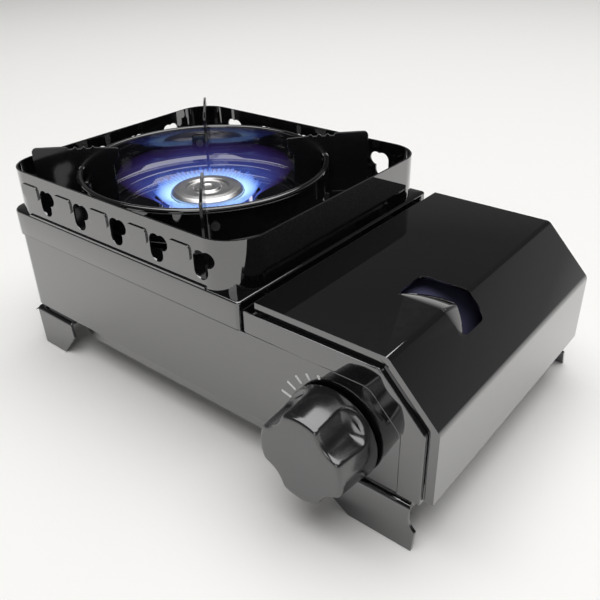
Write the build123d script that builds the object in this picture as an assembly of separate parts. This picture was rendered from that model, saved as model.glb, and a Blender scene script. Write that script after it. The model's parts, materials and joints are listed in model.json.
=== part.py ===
from build123d import *
import math
import os

# A compact butane cassette stove.
# Millimetres, +Z up. The front panel and knob face -Y, the canister side is +X.
# The origin is on the ground, under the middle of the overall box.

# ---------------------------------------------------------------- driving dimensions
body_width = 286.0
body_depth = 162.0
knob_reach = 25.5
foot_splay = 5.5
foot_sheet = 1.6
foot_flange = 16.0
foot_screw_depth = 10.0
foot_notch_radius = 7.5
screw_radius = 1.5
screw_head = 1.4
skirt_screw_height = 75.5
sheet = 1.0
seat_gap = 0.3

# heights above the ground
pan_underside = 13.0
raised_underside = 19.5
shell_bottom = 23.0
pan_shoulder = 26.0
seam_height = 71.0
top_height = 86.0
cover_height = 88.0
bevel_height = 62.0
windshield_height = 112.0
rim_height = 109.5
support_height = 122.0

# places of the canister side, from the right end
plate_from_right = 102.0
frame_from_right = 99.5
cover_from_right = 94.5
partition_from_right = 99.0
crease_from_right = 25.0

skirt_overlap = 9.0
pan_upstand = 8.0
pan_taper = 3.0
raised_taper = 4.5
rear_slot_count = 9
side_slot_count = 5
slot_pitch = 15.0
cooling_slot_height = 47.0
cooling_slot_length = 18.0
cooling_slot_width = 4.0
skirt_stand_off = 1.2
bend_radius = 3.0
shell_corner = 8.3
shell_lap = 8.0
plate_end_corner = 2.5
plate_edge_radius = 1.2

# burner and pan
burner_from_left = 85.5
burner_from_front = 78.0
rim_radius = 70.5
rim_bead = 1.5
pan_wall_radius = 69.5
pan_ledge_radius = 56.0
pan_floor_height = 81.0
pan_hole_radius = 28.0
burner_head_radius = 22.0
burner_cap_radius = 21.5
burner_cap_top = 94.0
burner_chamber_radius = 16.0
gas_height = 62.0
gas_line_depth = 11.5
mixing_tube_radius = 7.5
bell_radius = 9.3
bell_length = 5.0
mixing_tube_wall = 1.0
lead_radius = 1.2
lead_depth = 5.0
lead_height = 25.6
stand_height = 50.0
heat_strip_sheet = 1.3
heat_strip_width = 22.0
port_count = 28
burner_deck = 86.0
electrode_angle = -100.0
electrode_offset = 3.2
electrode_radius = 1.6
electrode_low = 54.0
tube_start_from_right = 85.0
tube_bend_from_left = 146.0
heat_strip_offset = 0.0
heat_strip_drop_from_left = 132.0
heat_strip_end_from_right = 36.0

# windshield
shield_inset = 1.2
shield_rear_inset = 2.9
shield_foot_inside = 1.6
shield_foot_outside = 1.0
shield_corner = 20.0
louvre_count = 5
louvre_pitch = 30.3
louvre_shift = 10.0
louvre_width = 13.0
louvre_oval = 9.0
louvre_notch_radius = 4.0
louvre_height = 15.0
louvre_below_top = 14.5
louvre_panel_height = 8.0
louvre_panel_relief = 0.8
louvre_panel_rise = 4.0
side_louvre_count = 4

# pot support arms
arm_sheet = 1.6
arm_outer = 95.5
arm_inner = 48.0
arm_step = 3.5
arm_shoulder = 76.5
arm_teeth = 3
arm_tooth_pitch = 5.0
arm_tooth_depth = 1.5
rivet_radius = 1.4
rivet_head = 2.4
rivet_offset = 5.0
rivet_below_rim = 10.5

# cover and its frame
cover_hem = 3.6
frame_strip = 11.5
frame_flange = 8.0
frame_inner_round = 8.0
hinge_from_right = 92.4
hinge_ear_from_front = 26.0
hinge_ear_from_back = 27.0
hinge_height = 84.2
hinge_pin_radius = 1.3
hinge_ear_radius = 2.4
hinge_notch = 8.0
hinge_clearance = 0.06
slot_from_right = 49.0
slot_length = 34.0
slot_from_front = 51.0
slot_width = 16.5
cover_bend = 4.0
lip_radius = 5.5

# knob, spindle and igniter
knob_from_right = 49.0
knob_height = 40.5
knob_radius = 23.6
knob_face_radius = 21.8
knob_flute_radius = 8.5
knob_flute_depth = 4.3
knob_flute_length = 17.0
knob_gap = 1.8
knob_wall_radius = 17.0
knob_boss_radius = 6.5
spindle_radius = 3.0
bearing_clearance = 0.05
cam_radius = 11.7
cam_base_radius = 7.6
cam_from_front = 3.0
cam_rise_per_degree = 0.05
cam_thickness = 3.0
cam_gap = 0.35
plunger_radius = 2.0
plunger_clearance = 0.05
plunger_tip_radius = 0.5
plunger_tip_length = 3.0
plunger_length = 19.0
igniter_from_right = 25.0
igniter_length = 18.0
igniter_depth = 8.5
igniter_height = 10.0

# canister and governor
canister_radius = 33.0
canister_rim = 34.2
canister_length = 104.0
canister_wall = 0.8
canister_rim_height = 2.0
canister_from_front = 25.0
cradle_clearance = 0.3
cradle_height = 30.0
cradle_half_width = 26.0
cradle_front_depth = 50.0
cradle_rear_depth = 110.0
canister_from_right = 49.0
canister_axis_height = 48.6
canister_valve_radius = 17.0
stem_radius = 2.0
stem_hole = 0.7
bulkhead_from_front = 22.0
socket_clearance = 0.6
governor_radius = 24.0
governor_from_front = 8.0
governor_spigot_radius = 9.0
magnet_inner_radius = 12.0
magnet_outer_radius = 17.0
magnet_thickness = 1.7
governor_boss_radius = 5.0
gland_radius = 6.5
jet_from_right = 73.0
jet_radius = 2.6
spindle_inside = 14.0
spindle_outside = 14.0
cover_setback = 1.5

# ---------------------------------------------------------------- derived places
left = -body_width / 2
right = body_width / 2
front = knob_reach - (knob_reach + body_depth + foot_splay) / 2
back = front + body_depth
burner_x = left + burner_from_left
burner_y = front + burner_from_front
knob_x = right - knob_from_right
hinge_x = right - hinge_from_right
canister_x = right - canister_from_right
partition_x = right - partition_from_right
crease_x = right - crease_from_right
plate_right = right - plate_from_right
top_plate_width = plate_right - left
frame_x = right - frame_from_right
cover_x = right - cover_from_right
jet_x = right - jet_from_right
tube_start_x = right - tube_start_from_right
slot_x = right - slot_from_right
rivet_height = rim_height - rivet_below_rim
louvre_centre_height = windshield_height - louvre_below_top
wall_left = left + skirt_stand_off
pan_floor = pan_underside + sheet
bulkhead_y = front + bulkhead_from_front


# ---------------------------------------------------------------- helpers
def moved_inwards(points, distance):
    """Corner points of a path moved to its right-hand side by a distance, with mitred corners."""
    result = []
    last = len(points) - 1
    for index, (x, z) in enumerate(points):
        before = points[max(index - 1, 0)]
        after = points[min(index + 1, last)]
        normals = []
        for start, end in ((before, (x, z)), ((x, z), after)):
            length = math.hypot(end[0] - start[0], end[1] - start[1])
            if length > 0:
                normals.append(((end[1] - start[1]) / length, (start[0] - end[0]) / length))
        nx = sum(n[0] for n in normals) / len(normals)
        nz = sum(n[1] for n in normals) / len(normals)
        scale = distance / (nx * nx + nz * nz)
        result.append((x + nx * scale, z + nz * scale))
    return result


def strip_face(points, thickness, radius, inner_radius=None):
    """Sketch of a bent strip: a path with rounded corners, and the same path moved inwards."""
    inner_round = inner_radius or max(radius - thickness, 0.4)
    outer = FilletPolyline(*points, radius=radius)
    inner = FilletPolyline(*moved_inwards(points, thickness), radius=inner_round)
    ends = Line(outer @ 0, inner @ 0) + Line(outer @ 1, inner @ 1)
    return make_face(outer + inner + ends)


def along_y(sketch, y_start, y_end):
    """Extrude a sketch drawn in x and z from one depth to another."""
    plane = Plane(origin=(0, y_end, 0), x_dir=(1, 0, 0), z_dir=(0, -1, 0))
    return extrude(plane * sketch, amount=y_end - y_start)


def along_x(sketch, x_start, x_end):
    """Extrude a sketch drawn in y and z from one place across to another."""
    plane = Plane(origin=(x_start, 0, 0), x_dir=(0, 1, 0), z_dir=(1, 0, 0))
    return extrude(plane * sketch, amount=x_end - x_start)


def along_z(sketch, z_start, z_end):
    """Extrude a sketch drawn in x and y from one height to another."""
    return extrude(Plane.XY.offset(z_start) * sketch, amount=z_end - z_start)


def block(x0, x1, y0, y1, z0, z1):
    """A box between two corners."""
    return Pos((x0 + x1) / 2, (y0 + y1) / 2, (z0 + z1) / 2) * Box(x1 - x0, y1 - y0, z1 - z0)


def rod_y(x, y0, y1, z, radius):
    """A round bar along Y."""
    return Pos(x, (y0 + y1) / 2, z) * Rot(90, 0, 0) * Cylinder(radius, y1 - y0)


def rod_x(x0, x1, y, z, radius):
    """A round bar along X."""
    return Pos((x0 + x1) / 2, y, z) * Rot(0, 90, 0) * Cylinder(radius, x1 - x0)


def rod_z(x, y, z0, z1, radius):
    """An upright round bar."""
    return Pos(x, y, (z0 + z1) / 2) * Cylinder(radius, z1 - z0)


def turned(points):
    """Revolve a closed profile of radius and height points about Z."""
    return revolve(Plane.XZ * make_face(Polyline(*points, close=True)), Axis.Z)


def tray(x0, x1, y0, y1, z_floor, z_rim, taper, corner):
    """A solid block with sloped sides and rounded corners, wide side up."""
    low = RectangleRounded(x1 - x0 - 2 * taper, y1 - y0 - 2 * taper, corner)
    high = RectangleRounded(x1 - x0, y1 - y0, corner)
    centre = Pos((x0 + x1) / 2, (y0 + y1) / 2, 0)
    return loft([centre * Pos(0, 0, z_floor) * low, centre * Pos(0, 0, z_rim) * high])


def cover_path(inset):
    """Outline of the cover seen from the front, moved inwards by an inset."""
    points = [
        (cover_x, cover_height),
        (crease_x, cover_height),
        (right, bevel_height),
        (right, shell_bottom + 1.2),
    ]
    return moved_inwards(points, inset) if inset else points


def frame_path(inset=0.0):
    """Outline of the frame round the canister side, which lies a seat gap inside the cover."""
    points = cover_path(sheet + cover_hem + seat_gap)
    points[0] = (frame_x, points[0][1])
    points[-1] = (points[-1][0], shell_bottom)
    return moved_inwards(points, inset) if inset else points


# ---------------------------------------------------------------- body shell
def end_panel_sketch(x_start):
    """Flat end panel, which fills the space inside the frame flange and behind the skirt."""
    shoulder = seam_height + skirt_overlap
    frame_edge = FilletPolyline(*frame_path(sheet), radius=bend_radius - sheet)
    rest = Polyline(
        frame_edge @ 0,
        (frame_x, seam_height - seat_gap),
        (plate_right - 4 * sheet, seam_height - seat_gap),
        (plate_right - 4 * sheet, shoulder),
        (x_start, shoulder),
        (x_start, shell_bottom),
        frame_edge @ 1,
    )
    return make_face(frame_edge + rest)


def shell_wall(y0, y1):
    """Left end of the wall, bent round its corners, between two depths."""
    width = body_width - 2 * skirt_stand_off
    outer = RectangleRounded(width, body_depth, shell_corner)
    inner = RectangleRounded(width - 2 * sheet, body_depth - 2 * sheet, shell_corner - sheet)
    top = seam_height + skirt_overlap
    ring = along_z(Pos(0, (front + back) / 2) * (outer - inner), shell_bottom, top)
    return ring & block(wall_left - 1, wall_left + shell_corner, y0, y1, shell_bottom, top)


def make_front_panel():
    """Front panel, bent round its left corner into a lap flange, with the hole for the spindle."""
    bend_end = front + shell_corner
    panel = along_y(end_panel_sketch(wall_left + shell_corner), front, front + sheet)
    panel += shell_wall(front - 1, bend_end)
    flange_low = pan_shoulder + pan_upstand + sheet
    flange_high = seam_height + skirt_overlap
    panel += block(
        wall_left + sheet, wall_left + 2 * sheet, bend_end - 3, bend_end + shell_lap, flange_low, flange_high
    )
    return panel - rod_y(knob_x, front - 1, front + 2, knob_height, spindle_radius + 0.6)


def upright_slot():
    """Outline of an upright cooling slot."""
    return Rot(0, 0, 90) * SlotOverall(cooling_slot_length, cooling_slot_width)


def make_side_shell():
    """Left wall and rear wall bent from one sheet, with rows of cooling slots."""
    shell = shell_wall(front + shell_corner, back + 1)
    shell += along_y(end_panel_sketch(wall_left + shell_corner), back - sheet, back)
    for column in range(rear_slot_count):
        x = burner_x + (column - (rear_slot_count - 1) / 2) * slot_pitch
        slot = Pos(x, cooling_slot_height) * upright_slot()
        shell -= along_y(slot, back - 2 * sheet, back + sheet)
    for column in range(side_slot_count):
        y = burner_y + (column - (side_slot_count - 1) / 2) * slot_pitch
        slot = Pos(y, cooling_slot_height) * upright_slot()
        shell -= along_x(slot, wall_left - sheet, wall_left + 2 * sheet)
    for bar in skirt_screw_bars(screw_radius):
        shell -= bar
    return shell


def make_canister_frame(is_front):
    """Pressed frame strip round one end of the canister side, with a flange under the cover."""
    strip = strip_face(frame_path(), frame_strip, bend_radius, frame_inner_round)
    flange_path = frame_path()
    flange_path[0] = (cover_x + hinge_notch, flange_path[0][1])
    flange = strip_face(flange_path, sheet, bend_radius)
    if is_front:
        return along_y(strip, front - sheet, front) + along_y(flange, front, front + frame_flange)
    return along_y(strip, back, back + sheet) + along_y(flange, back - frame_flange, back)


def hinge_ear_places():
    """Depths of the two fixed ears that carry the hinge pin."""
    return (front + hinge_ear_from_front, back - hinge_ear_from_back)


def make_partition():
    """Heat shield between the burner side and the canister side, with ears for the hinge pin."""
    top = seam_height + skirt_overlap - sheet
    low = raised_underside + sheet + seat_gap
    flange_low = pan_shoulder + pan_upstand + sheet
    part = block(partition_x, partition_x + sheet, front + 7, back - 7, low, top)
    part += block(partition_x, partition_x + sheet, front + sheet, back - sheet, flange_low, top)
    for y in (front + sheet, back - 2 * sheet):
        part += block(partition_x, partition_x + 9, y, y + sheet, flange_low, top)
    tube_hole = mixing_tube_radius + 0.6
    part -= rod_x(partition_x - 1, partition_x + 2, front + gas_line_depth, gas_height, tube_hole)
    lead_slot = block(partition_x - 1, partition_x + 2, front, front + lead_depth + 3, low, lead_height + 3)
    part -= lead_slot
    for y in hinge_ear_places():
        stalk_low = hinge_height - 15
        ear = rod_y(hinge_x, y, y + sheet, hinge_height, hinge_ear_radius)
        ear += block(hinge_x - 1.6, hinge_x + hinge_ear_radius, y, y + sheet, stalk_low, hinge_height)
        ear += block(partition_x, hinge_x, y, y + sheet, stalk_low, hinge_height - 6)
        part += ear - rod_y(hinge_x, y - 1, y + 2 * sheet, hinge_height, hinge_pin_radius)
    return part


def make_base_pan():
    """Bottom pan: a raised floor at the corners, a sunk floor between them, and low upstands."""
    x0 = wall_left + sheet
    x1 = right - 2 * sheet - cover_hem - seat_gap - sheet
    y0 = front + sheet
    y1 = back - sheet
    pressings = (
        (x0, x1, y0, y1, raised_underside, raised_taper),
        (left + 44, right - 60, y0, y1, pan_underside, pan_taper),
        (right - 90, right - 14, front + 27, back - 20, pan_underside, pan_taper),
    )
    corner = shell_corner - sheet
    centre = Pos((x0 + x1) / 2, (y0 + y1) / 2)
    rim = centre * RectangleRounded(x1 - x0, y1 - y0, corner)
    well = centre * RectangleRounded(x1 - x0 - 2 * sheet, y1 - y0 - 2 * sheet, corner - sheet)
    pan = along_z(rim, pan_shoulder, pan_shoulder + pan_upstand)
    for px0, px1, py0, py1, floor, taper in pressings:
        pan += tray(px0, px1, py0, py1, floor, pan_shoulder, taper, corner)
    pan -= along_z(well, pan_shoulder, pan_shoulder + pan_upstand + 1)
    for px0, px1, py0, py1, floor, taper in pressings:
        inside = (px0 + sheet, px1 - sheet, py0 + sheet, py1 - sheet)
        pan -= tray(*inside, floor + sheet, pan_shoulder, taper, corner - sheet)
    for column in range(4):
        vent = Pos(burner_x - 12 + 8 * column, burner_y + 42) * Rot(0, 0, 90) * SlotOverall(30, 4)
        pan -= along_z(vent, pan_underside - 1, pan_floor + 1)
    for x, y in foot_screw_places():
        pan -= rod_z(x, y, raised_underside - 1, raised_underside + 2 * sheet, screw_radius)
    return pan


# ---------------------------------------------------------------- feet
def foot_outline(is_left):
    """Cut shape of a foot seen from the front, and the places of its two screws."""
    if is_left:
        points = [(3.5, raised_underside), (38, raised_underside), (42.5, 11.5), (34.5, 0), (14.5, 0)]
        screws = (12, 30)
    else:
        points = [(-45, raised_underside), (-10, raised_underside), (-5, 11), (-5, 0), (-37.5, 0), (-51, 6)]
        screws = (-37, -20)
    end = left if is_left else right
    shape = make_face(Polyline(*[(end + x, z) for x, z in points], close=True))
    return shape, [end + x for x in screws]


def make_foot(is_left, is_front):
    """Pressed foot: a plate that leans outwards, with a flange under the raised floor."""
    shape, screw_places = foot_outline(is_left)
    path = [(-foot_splay, 0), (-0.5, raised_underside), (foot_flange, raised_underside)]
    profile = strip_face(path, foot_sheet, bend_radius)
    bent = along_x(profile, left, right)
    cutter = along_y(shape, -foot_splay - 5, foot_flange + 5)
    foot = bent & cutter
    if not is_left:
        foot -= rod_y(right - 2, -foot_splay - 1, 2, raised_underside - 4, foot_notch_radius)
    for x in screw_places:
        foot -= rod_z(x, foot_screw_depth, raised_underside - 4, raised_underside + 1, screw_radius)
    if is_front:
        return Pos(0, front, 0) * foot
    return Pos(0, back, 0) * mirror(foot, Plane.XZ)


def foot_screw_places():
    """Places of all the foot screws."""
    places = []
    for is_left in (True, False):
        for x in foot_outline(is_left)[1]:
            places.append((x, front + foot_screw_depth))
            places.append((x, back - foot_screw_depth))
    return places


def make_foot_screws():
    """Pan-head screws that hold the feet to the raised floor."""
    head_top = raised_underside - foot_sheet
    screws = []
    for x, y in foot_screw_places():
        head = rod_z(x, y, head_top - screw_head, head_top, screw_radius * 2)
        screws.append(head + rod_z(x, y, head_top, raised_underside + 2 * sheet, screw_radius))
    return Compound(children=screws)


# ---------------------------------------------------------------- top plate and windshield
def plate_outline(inset):
    """Outline of the top plate moved inwards, with wide corners at the left and small ones at the right."""
    length = body_depth + 2 * skirt_stand_off
    outline = Rectangle(top_plate_width - 2 * inset, length - 2 * inset)
    outline = fillet(outline.vertices().sort_by(Axis.X)[:2], shell_corner + skirt_stand_off - inset)
    outline = fillet(outline.vertices().sort_by(Axis.X)[-2:], plate_end_corner - inset)
    return Pos((left + plate_right) / 2, (front + back) / 2) * outline


def make_top_plate():
    """Top plate with a rolled edge, a deep skirt and the round opening for the drip pan."""
    plate = along_z(plate_outline(0), seam_height, top_height)
    plate = fillet(plate.faces().sort_by(Axis.Z)[-1].edges(), plate_edge_radius)
    plate -= along_z(plate_outline(sheet), seam_height - 1, top_height - sheet)
    plate -= rod_z(burner_x, burner_y, top_height - 3, top_height + 1, pan_ledge_radius + 1.2)
    for bar in skirt_screw_bars(screw_radius):
        plate -= bar
    return plate


def skirt_screw_places():
    """Places across the width of the screws that join the rear skirt to the rear wall."""
    return (left + 36, burner_x, left + 146)


def skirt_screw_bars(radius):
    """Cross bars at the rear skirt screws."""
    outside = back + skirt_stand_off
    bars = [rod_y(x, back - 3 * sheet, outside, skirt_screw_height, radius) for x in skirt_screw_places()]
    return bars


def make_skirt_screws():
    """Screws that join the rear skirt of the top plate to the rear wall."""
    outside = back + skirt_stand_off
    screws = []
    for x, bar in zip(skirt_screw_places(), skirt_screw_bars(screw_radius)):
        screws.append(bar + rod_y(x, outside, outside + screw_head, skirt_screw_height, screw_radius * 2))
    return Compound(children=screws)


def shield_size():
    """Width and length of the windshield, and the place of its centre."""
    width = top_plate_width - 2 * shield_inset
    near = front - skirt_stand_off + shield_inset
    far = back + skirt_stand_off - shield_rear_inset
    return width, far - near, ((left + plate_right) / 2, (near + far) / 2)


def louvre_places():
    """Places of the openings and raised panels along the front, rear and left windshield walls."""
    width, length, middle = shield_size()
    centre = Pos(*middle, louvre_centre_height)
    walls = (
        (centre * Pos(0, -length / 2, 0), louvre_count, louvre_shift, 0),
        (centre * Rot(0, 0, 180) * Pos(0, -length / 2, 0), louvre_count, 0, 1),
        (centre * Rot(0, 0, -90) * Pos(0, -width / 2, 0), side_louvre_count, 0, 1),
    )
    openings = []
    panels = []
    for wall, count, shift, first_panel in walls:
        start = shift - (count - 1) / 2 * louvre_pitch
        for index in range(count):
            openings.append(wall * Pos(start + index * louvre_pitch, 0, 0))
        for index in range(first_panel, count):
            panels.append(wall * Pos(start + (index - 0.5) * louvre_pitch, 0, louvre_panel_rise))
    return openings, panels


def louvre_window():
    """Outline of an opening: a tall oval with a round notch at its upper right."""
    side = louvre_width / 2
    oval = Pos(louvre_oval / 2 - side, 0) * Rot(0, 0, 90) * SlotOverall(louvre_height, louvre_oval)
    notch = Pos(side - louvre_notch_radius, louvre_height / 2 - louvre_notch_radius)
    return oval + notch * Circle(louvre_notch_radius)


def make_windshield():
    """Square windshield with rounded corners, a foot flange, openings and raised panels."""
    width, length, middle = shield_size()
    outer = RectangleRounded(width, length, shield_corner)
    inner = RectangleRounded(width - 2 * sheet, length - 2 * sheet, shield_corner - sheet)
    shield = Pos(*middle) * along_z(outer - inner, top_height, windshield_height)
    run = width / 2 - shield_corner
    for side in (-1, 1):
        y = middle[1] + side * length / 2
        y_in = y - side * shield_foot_inside
        y_out = y + side * shield_foot_outside
        depths = (min(y_in, y_out), max(y_in, y_out))
        shield += block(middle[0] - run, middle[0] + run, *depths, top_height, top_height + sheet)
    cutter = along_y(louvre_window(), -4, 4)
    panel_width = louvre_pitch - louvre_width - 3
    raised = along_y(RectangleRounded(panel_width, louvre_panel_height, 2), -louvre_panel_relief, 0)
    openings, panels = louvre_places()
    for place in panels:
        shield += place * raised
    for place in openings:
        shield -= place * cutter
    return shield


# ---------------------------------------------------------------- burner
def at_burner(part):
    """Move a part made round the Z axis to the burner."""
    return Pos(burner_x, burner_y, 0) * part


def make_burner_stand():
    """Bridge bracket that carries the burner above the sunk floor."""
    half = 24.0
    path = [
        (-half - 9, pan_floor + foot_sheet),
        (-half, pan_floor + foot_sheet),
        (-half, stand_height),
        (half, stand_height),
        (half, pan_floor + foot_sheet),
        (half + 9, pan_floor + foot_sheet),
    ]
    return at_burner(along_y(strip_face(path, foot_sheet, 2.0, 2.0), -14, 14))


def tube_direction():
    """Unit direction from the burner to the bend of the mixing tube."""
    dx = left + tube_bend_from_left - burner_x
    dy = front + gas_line_depth - burner_y
    length = math.hypot(dx, dy)
    return dx / length, dy / length


def make_mixing_tube():
    """Mixing tube from the gas jet to the burner chamber, open at both ends."""
    dx, dy = tube_direction()
    reach = burner_chamber_radius - 1.0
    path = FilletPolyline(
        (tube_start_x, front + gas_line_depth, gas_height),
        (left + tube_bend_from_left, front + gas_line_depth, gas_height),
        (burner_x + dx * reach, burner_y + dy * reach, gas_height),
        radius=20,
    )
    start = Plane(origin=path @ 0, z_dir=path % 0)
    tube = sweep(start * Circle(mixing_tube_radius), path)
    tube -= sweep(start * Circle(mixing_tube_radius - mixing_tube_wall), path)
    bell_x = tube_start_x
    y = front + gas_line_depth
    bell = rod_x(bell_x - bell_length, bell_x, y, gas_height, bell_radius)
    bell -= rod_x(bell_x - bell_length - 1, bell_x + 1, y, gas_height, mixing_tube_radius - mixing_tube_wall)
    chamber = rod_z(burner_x, burner_y, gas_height - 20, gas_height + 20, burner_chamber_radius)
    return tube + bell - chamber


def make_burner_body():
    """Burner casting: a hollow chamber that flares out to the head, with a mouth for the tube."""
    wall = 2.0
    r1 = burner_chamber_radius
    r2 = burner_head_radius
    outside = [
        (0, stand_height),
        (r1, stand_height),
        (r1, 74),
        (r2, 79),
        (r2, burner_deck),
        (0, burner_deck),
    ]
    inside = [
        (0, stand_height + wall),
        (r1 - wall, stand_height + wall),
        (r1 - wall, 75),
        (r2 - wall, 80),
        (r2 - wall, burner_deck + 1),
        (0, burner_deck + 1),
    ]
    body = at_burner(turned(outside) - turned(inside))
    dx, dy = tube_direction()
    mouth = Plane(origin=(burner_x, burner_y, gas_height), z_dir=(dx, dy, 0))
    body -= extrude(mouth * Circle(mixing_tube_radius - mixing_tube_wall), amount=r1 + 5)
    return body


def make_burner_ring():
    """Flame ring: a short collar with a slot for each flame."""
    outer = at_burner(turned([
        (burner_head_radius - 5, burner_deck),
        (burner_head_radius, burner_deck),
        (burner_head_radius, burner_deck + 4),
        (burner_head_radius - 5, burner_deck + 4),
    ]))
    for index in range(port_count):
        turn = Rot(0, 0, 360 * index / port_count)
        slot = turn * Pos(burner_head_radius - 2, 0, burner_deck + 3) * Box(8, 1.4, 2.4)
        outer -= Pos(burner_x, burner_y, 0) * slot
    return outer


def make_burner_cap():
    """Burner cap with rings turned in its top and a spigot in the flame ring."""
    base = burner_deck + 4
    rim = burner_cap_radius
    top = burner_cap_top
    points = [
        (0, base - 2), (burner_head_radius - 5.2, base - 2), (burner_head_radius - 5.2, base), (rim, base),
        (rim, base + 1.5), (rim - 2, top - 0.8), (rim - 5, top), (13, top), (12, top - 1.4),
        (8.5, top - 1.4), (7.5, top), (4, top), (3, top - 0.8), (0, top - 0.8),
    ]
    return at_burner(turned(points))


def electrode_place():
    """Place of the ignition electrode beside the burner head."""
    angle = math.radians(electrode_angle)
    reach = burner_head_radius + electrode_offset
    return burner_x + reach * math.cos(angle), burner_y + reach * math.sin(angle)


def make_electrode_ceramic():
    """Ceramic sleeve of the ignition electrode."""
    x, y = electrode_place()
    sleeve = rod_z(x, y, 56, 88, electrode_radius) + rod_z(x, y, 60, 64.8, electrode_radius + 0.8)
    return sleeve - rod_z(x, y, 55, 89, 0.6)


def make_electrode_wire():
    """Metal core of the electrode, which ends beside the flame ring."""
    x, y = electrode_place()
    return rod_z(x, y, electrode_low, burner_deck + 5, 0.6)


def make_electrode_bracket():
    """Small bracket that holds the electrode to the burner chamber."""
    angle = electrode_angle
    reach = burner_head_radius + electrode_offset
    inner = burner_chamber_radius - 2
    arm = at_burner(Rot(0, 0, angle) * block(inner, reach + 4, -4, 4, 65, 66))
    tab = at_burner(Rot(0, 0, angle) * block(inner, burner_chamber_radius + 1.2, -4, 4, 58, 66))
    x, y = electrode_place()
    chamber = rod_z(burner_x, burner_y, 50, 74, burner_chamber_radius)
    return arm + tab - chamber - rod_z(x, y, 60, 70, electrode_radius)


def make_heat_strip():
    """Heat strip that carries warmth from the burner to the floor under the canister."""
    top = stand_height + heat_strip_sheet
    low = pan_floor + heat_strip_sheet
    drop_x = left + heat_strip_drop_from_left
    path = [
        (burner_x + burner_chamber_radius - 3, top),
        (drop_x, top),
        (drop_x, low),
        (right - heat_strip_end_from_right, low),
    ]
    y = burner_y + heat_strip_offset
    half = heat_strip_width / 2
    strip = along_y(strip_face(path, heat_strip_sheet, 3.0, 2.0), y - half, y + half)
    return strip - rod_z(burner_x, burner_y, stand_height - 1, stand_height + 3, burner_chamber_radius)


def make_ignition_lead():
    """Insulated lead from the igniter along the front panel to the electrode."""
    x, y = electrode_place()
    lead_y = front + lead_depth
    start_x = right - igniter_from_right + igniter_length / 2
    path = FilletPolyline(
        (start_x, lead_y, knob_height - igniter_height / 2),
        (start_x, lead_y, lead_height),
        (x, lead_y, lead_height),
        (x, y, lead_height),
        (x, y, electrode_low),
        radius=4,
    )
    return sweep(Plane(origin=path @ 0, z_dir=path % 0) * Circle(lead_radius), path)


# ---------------------------------------------------------------- drip pan and pot supports
def make_drip_pan():
    """Drip pan: a lip round the burner, a well, a ledge on the top plate and a beaded ring wall."""
    wall = pan_wall_radius
    ledge = top_height + seat_gap
    floor = pan_floor_height
    hole = pan_hole_radius
    well = pan_ledge_radius
    bead_low = rim_height - 2 * rim_bead
    points = [
        (hole, floor + 5), (hole, floor), (well - 3, floor), (well, floor + 3), (well, ledge),
        (wall - 3, ledge), (wall, ledge + 3), (wall, bead_low + 0.6), (wall - sheet, bead_low + 0.6),
        (wall - sheet, ledge + 3.4),
        (wall - 3.4, ledge + sheet), (well - sheet, ledge + sheet), (well - sheet, floor + 3.4),
        (well - 3.4, floor + sheet), (hole + sheet, floor + sheet), (hole + sheet, floor + 5),
    ]
    bead = Pos(0, 0, rim_height - rim_bead) * Torus(rim_radius, rim_bead)
    pan = at_burner(turned(points) + bead)
    for hole_bar in arm_rivet_bars(rivet_radius):
        pan -= hole_bar
    return pan


def arm_angles():
    """Turn of each pot support arm round the burner."""
    return [45 + 90 * index for index in range(4)]


def arm_outline():
    """Outline of an arm in radius and height, with teeth on top and a slot over the ring wall."""
    top = support_height
    ledge_top = top_height + seat_gap + sheet
    slot_in = pan_wall_radius - sheet - 0.4
    slot_out = rim_radius + rim_bead + 0.6
    slot_top = rim_height + 0.7
    points = [(arm_outer, top_height + seat_gap), (arm_outer, top - 2)]
    points += [(arm_outer - 2, top), (arm_shoulder, top)]
    for tooth in range(arm_teeth):
        start = arm_shoulder - tooth * arm_tooth_pitch
        valley = top - arm_tooth_depth
        points += [(start - 1.2, valley), (start - 3.6, valley), (start - 4.8, top - 0.2)]
    points += [
        (arm_shoulder - arm_teeth * arm_tooth_pitch - 1, top - 1.2),
        (arm_inner, top - 2), (arm_inner, top - 7),
        (arm_inner + arm_step, top - 12), (arm_inner + arm_step, ledge_top), (slot_in - 2.8, ledge_top),
        (slot_in, ledge_top + 2.8), (slot_in, slot_top), (slot_out, slot_top),
        (slot_out, top_height + seat_gap),
    ]
    return points


def arm_rivet_bars(radius):
    """Radial bars at the rivets that join the arms to the ring wall."""
    bar = rod_x(pan_wall_radius - 3, pan_wall_radius + 0.5, rivet_offset, rivet_height, radius)
    return [at_burner(Rot(0, 0, angle) * bar) for angle in arm_angles()]


def make_arm(angle):
    """Pot support arm cut from plate, with a tab that is riveted inside the ring wall."""
    inside = pan_wall_radius - sheet
    arm = along_y(make_face(Polyline(*arm_outline(), close=True)), -arm_sheet / 2, arm_sheet / 2)
    tab = block(inside - 1.9, inside + 1, 0, rivet_offset + 5, rivet_height - 5, rivet_height + 5)
    tab &= rod_z(0, 0, rivet_height - 6, rivet_height + 6, inside)
    tab -= rod_x(inside - 4, inside + 2, rivet_offset, rivet_height, rivet_radius)
    return at_burner(Rot(0, 0, angle) * (arm + tab))


def make_arm_rivets():
    """Rivets between the arm tabs and the ring wall."""
    inside = pan_wall_radius - sheet - 1.9
    wall = rod_z(0, 0, rivet_height - 6, rivet_height + 6, pan_wall_radius)
    shank = rod_x(inside, pan_wall_radius + 0.5, rivet_offset, rivet_height, rivet_radius)
    head_end = pan_wall_radius + 0.9
    outer_head = rod_x(pan_wall_radius - 1, head_end, rivet_offset, rivet_height, rivet_head) - wall
    inner_head = rod_x(inside - 1, inside, rivet_offset, rivet_height, rivet_head)
    rivet = shank + outer_head + inner_head
    return Compound(children=[at_burner(Rot(0, 0, angle) * rivet) for angle in arm_angles()])


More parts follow.
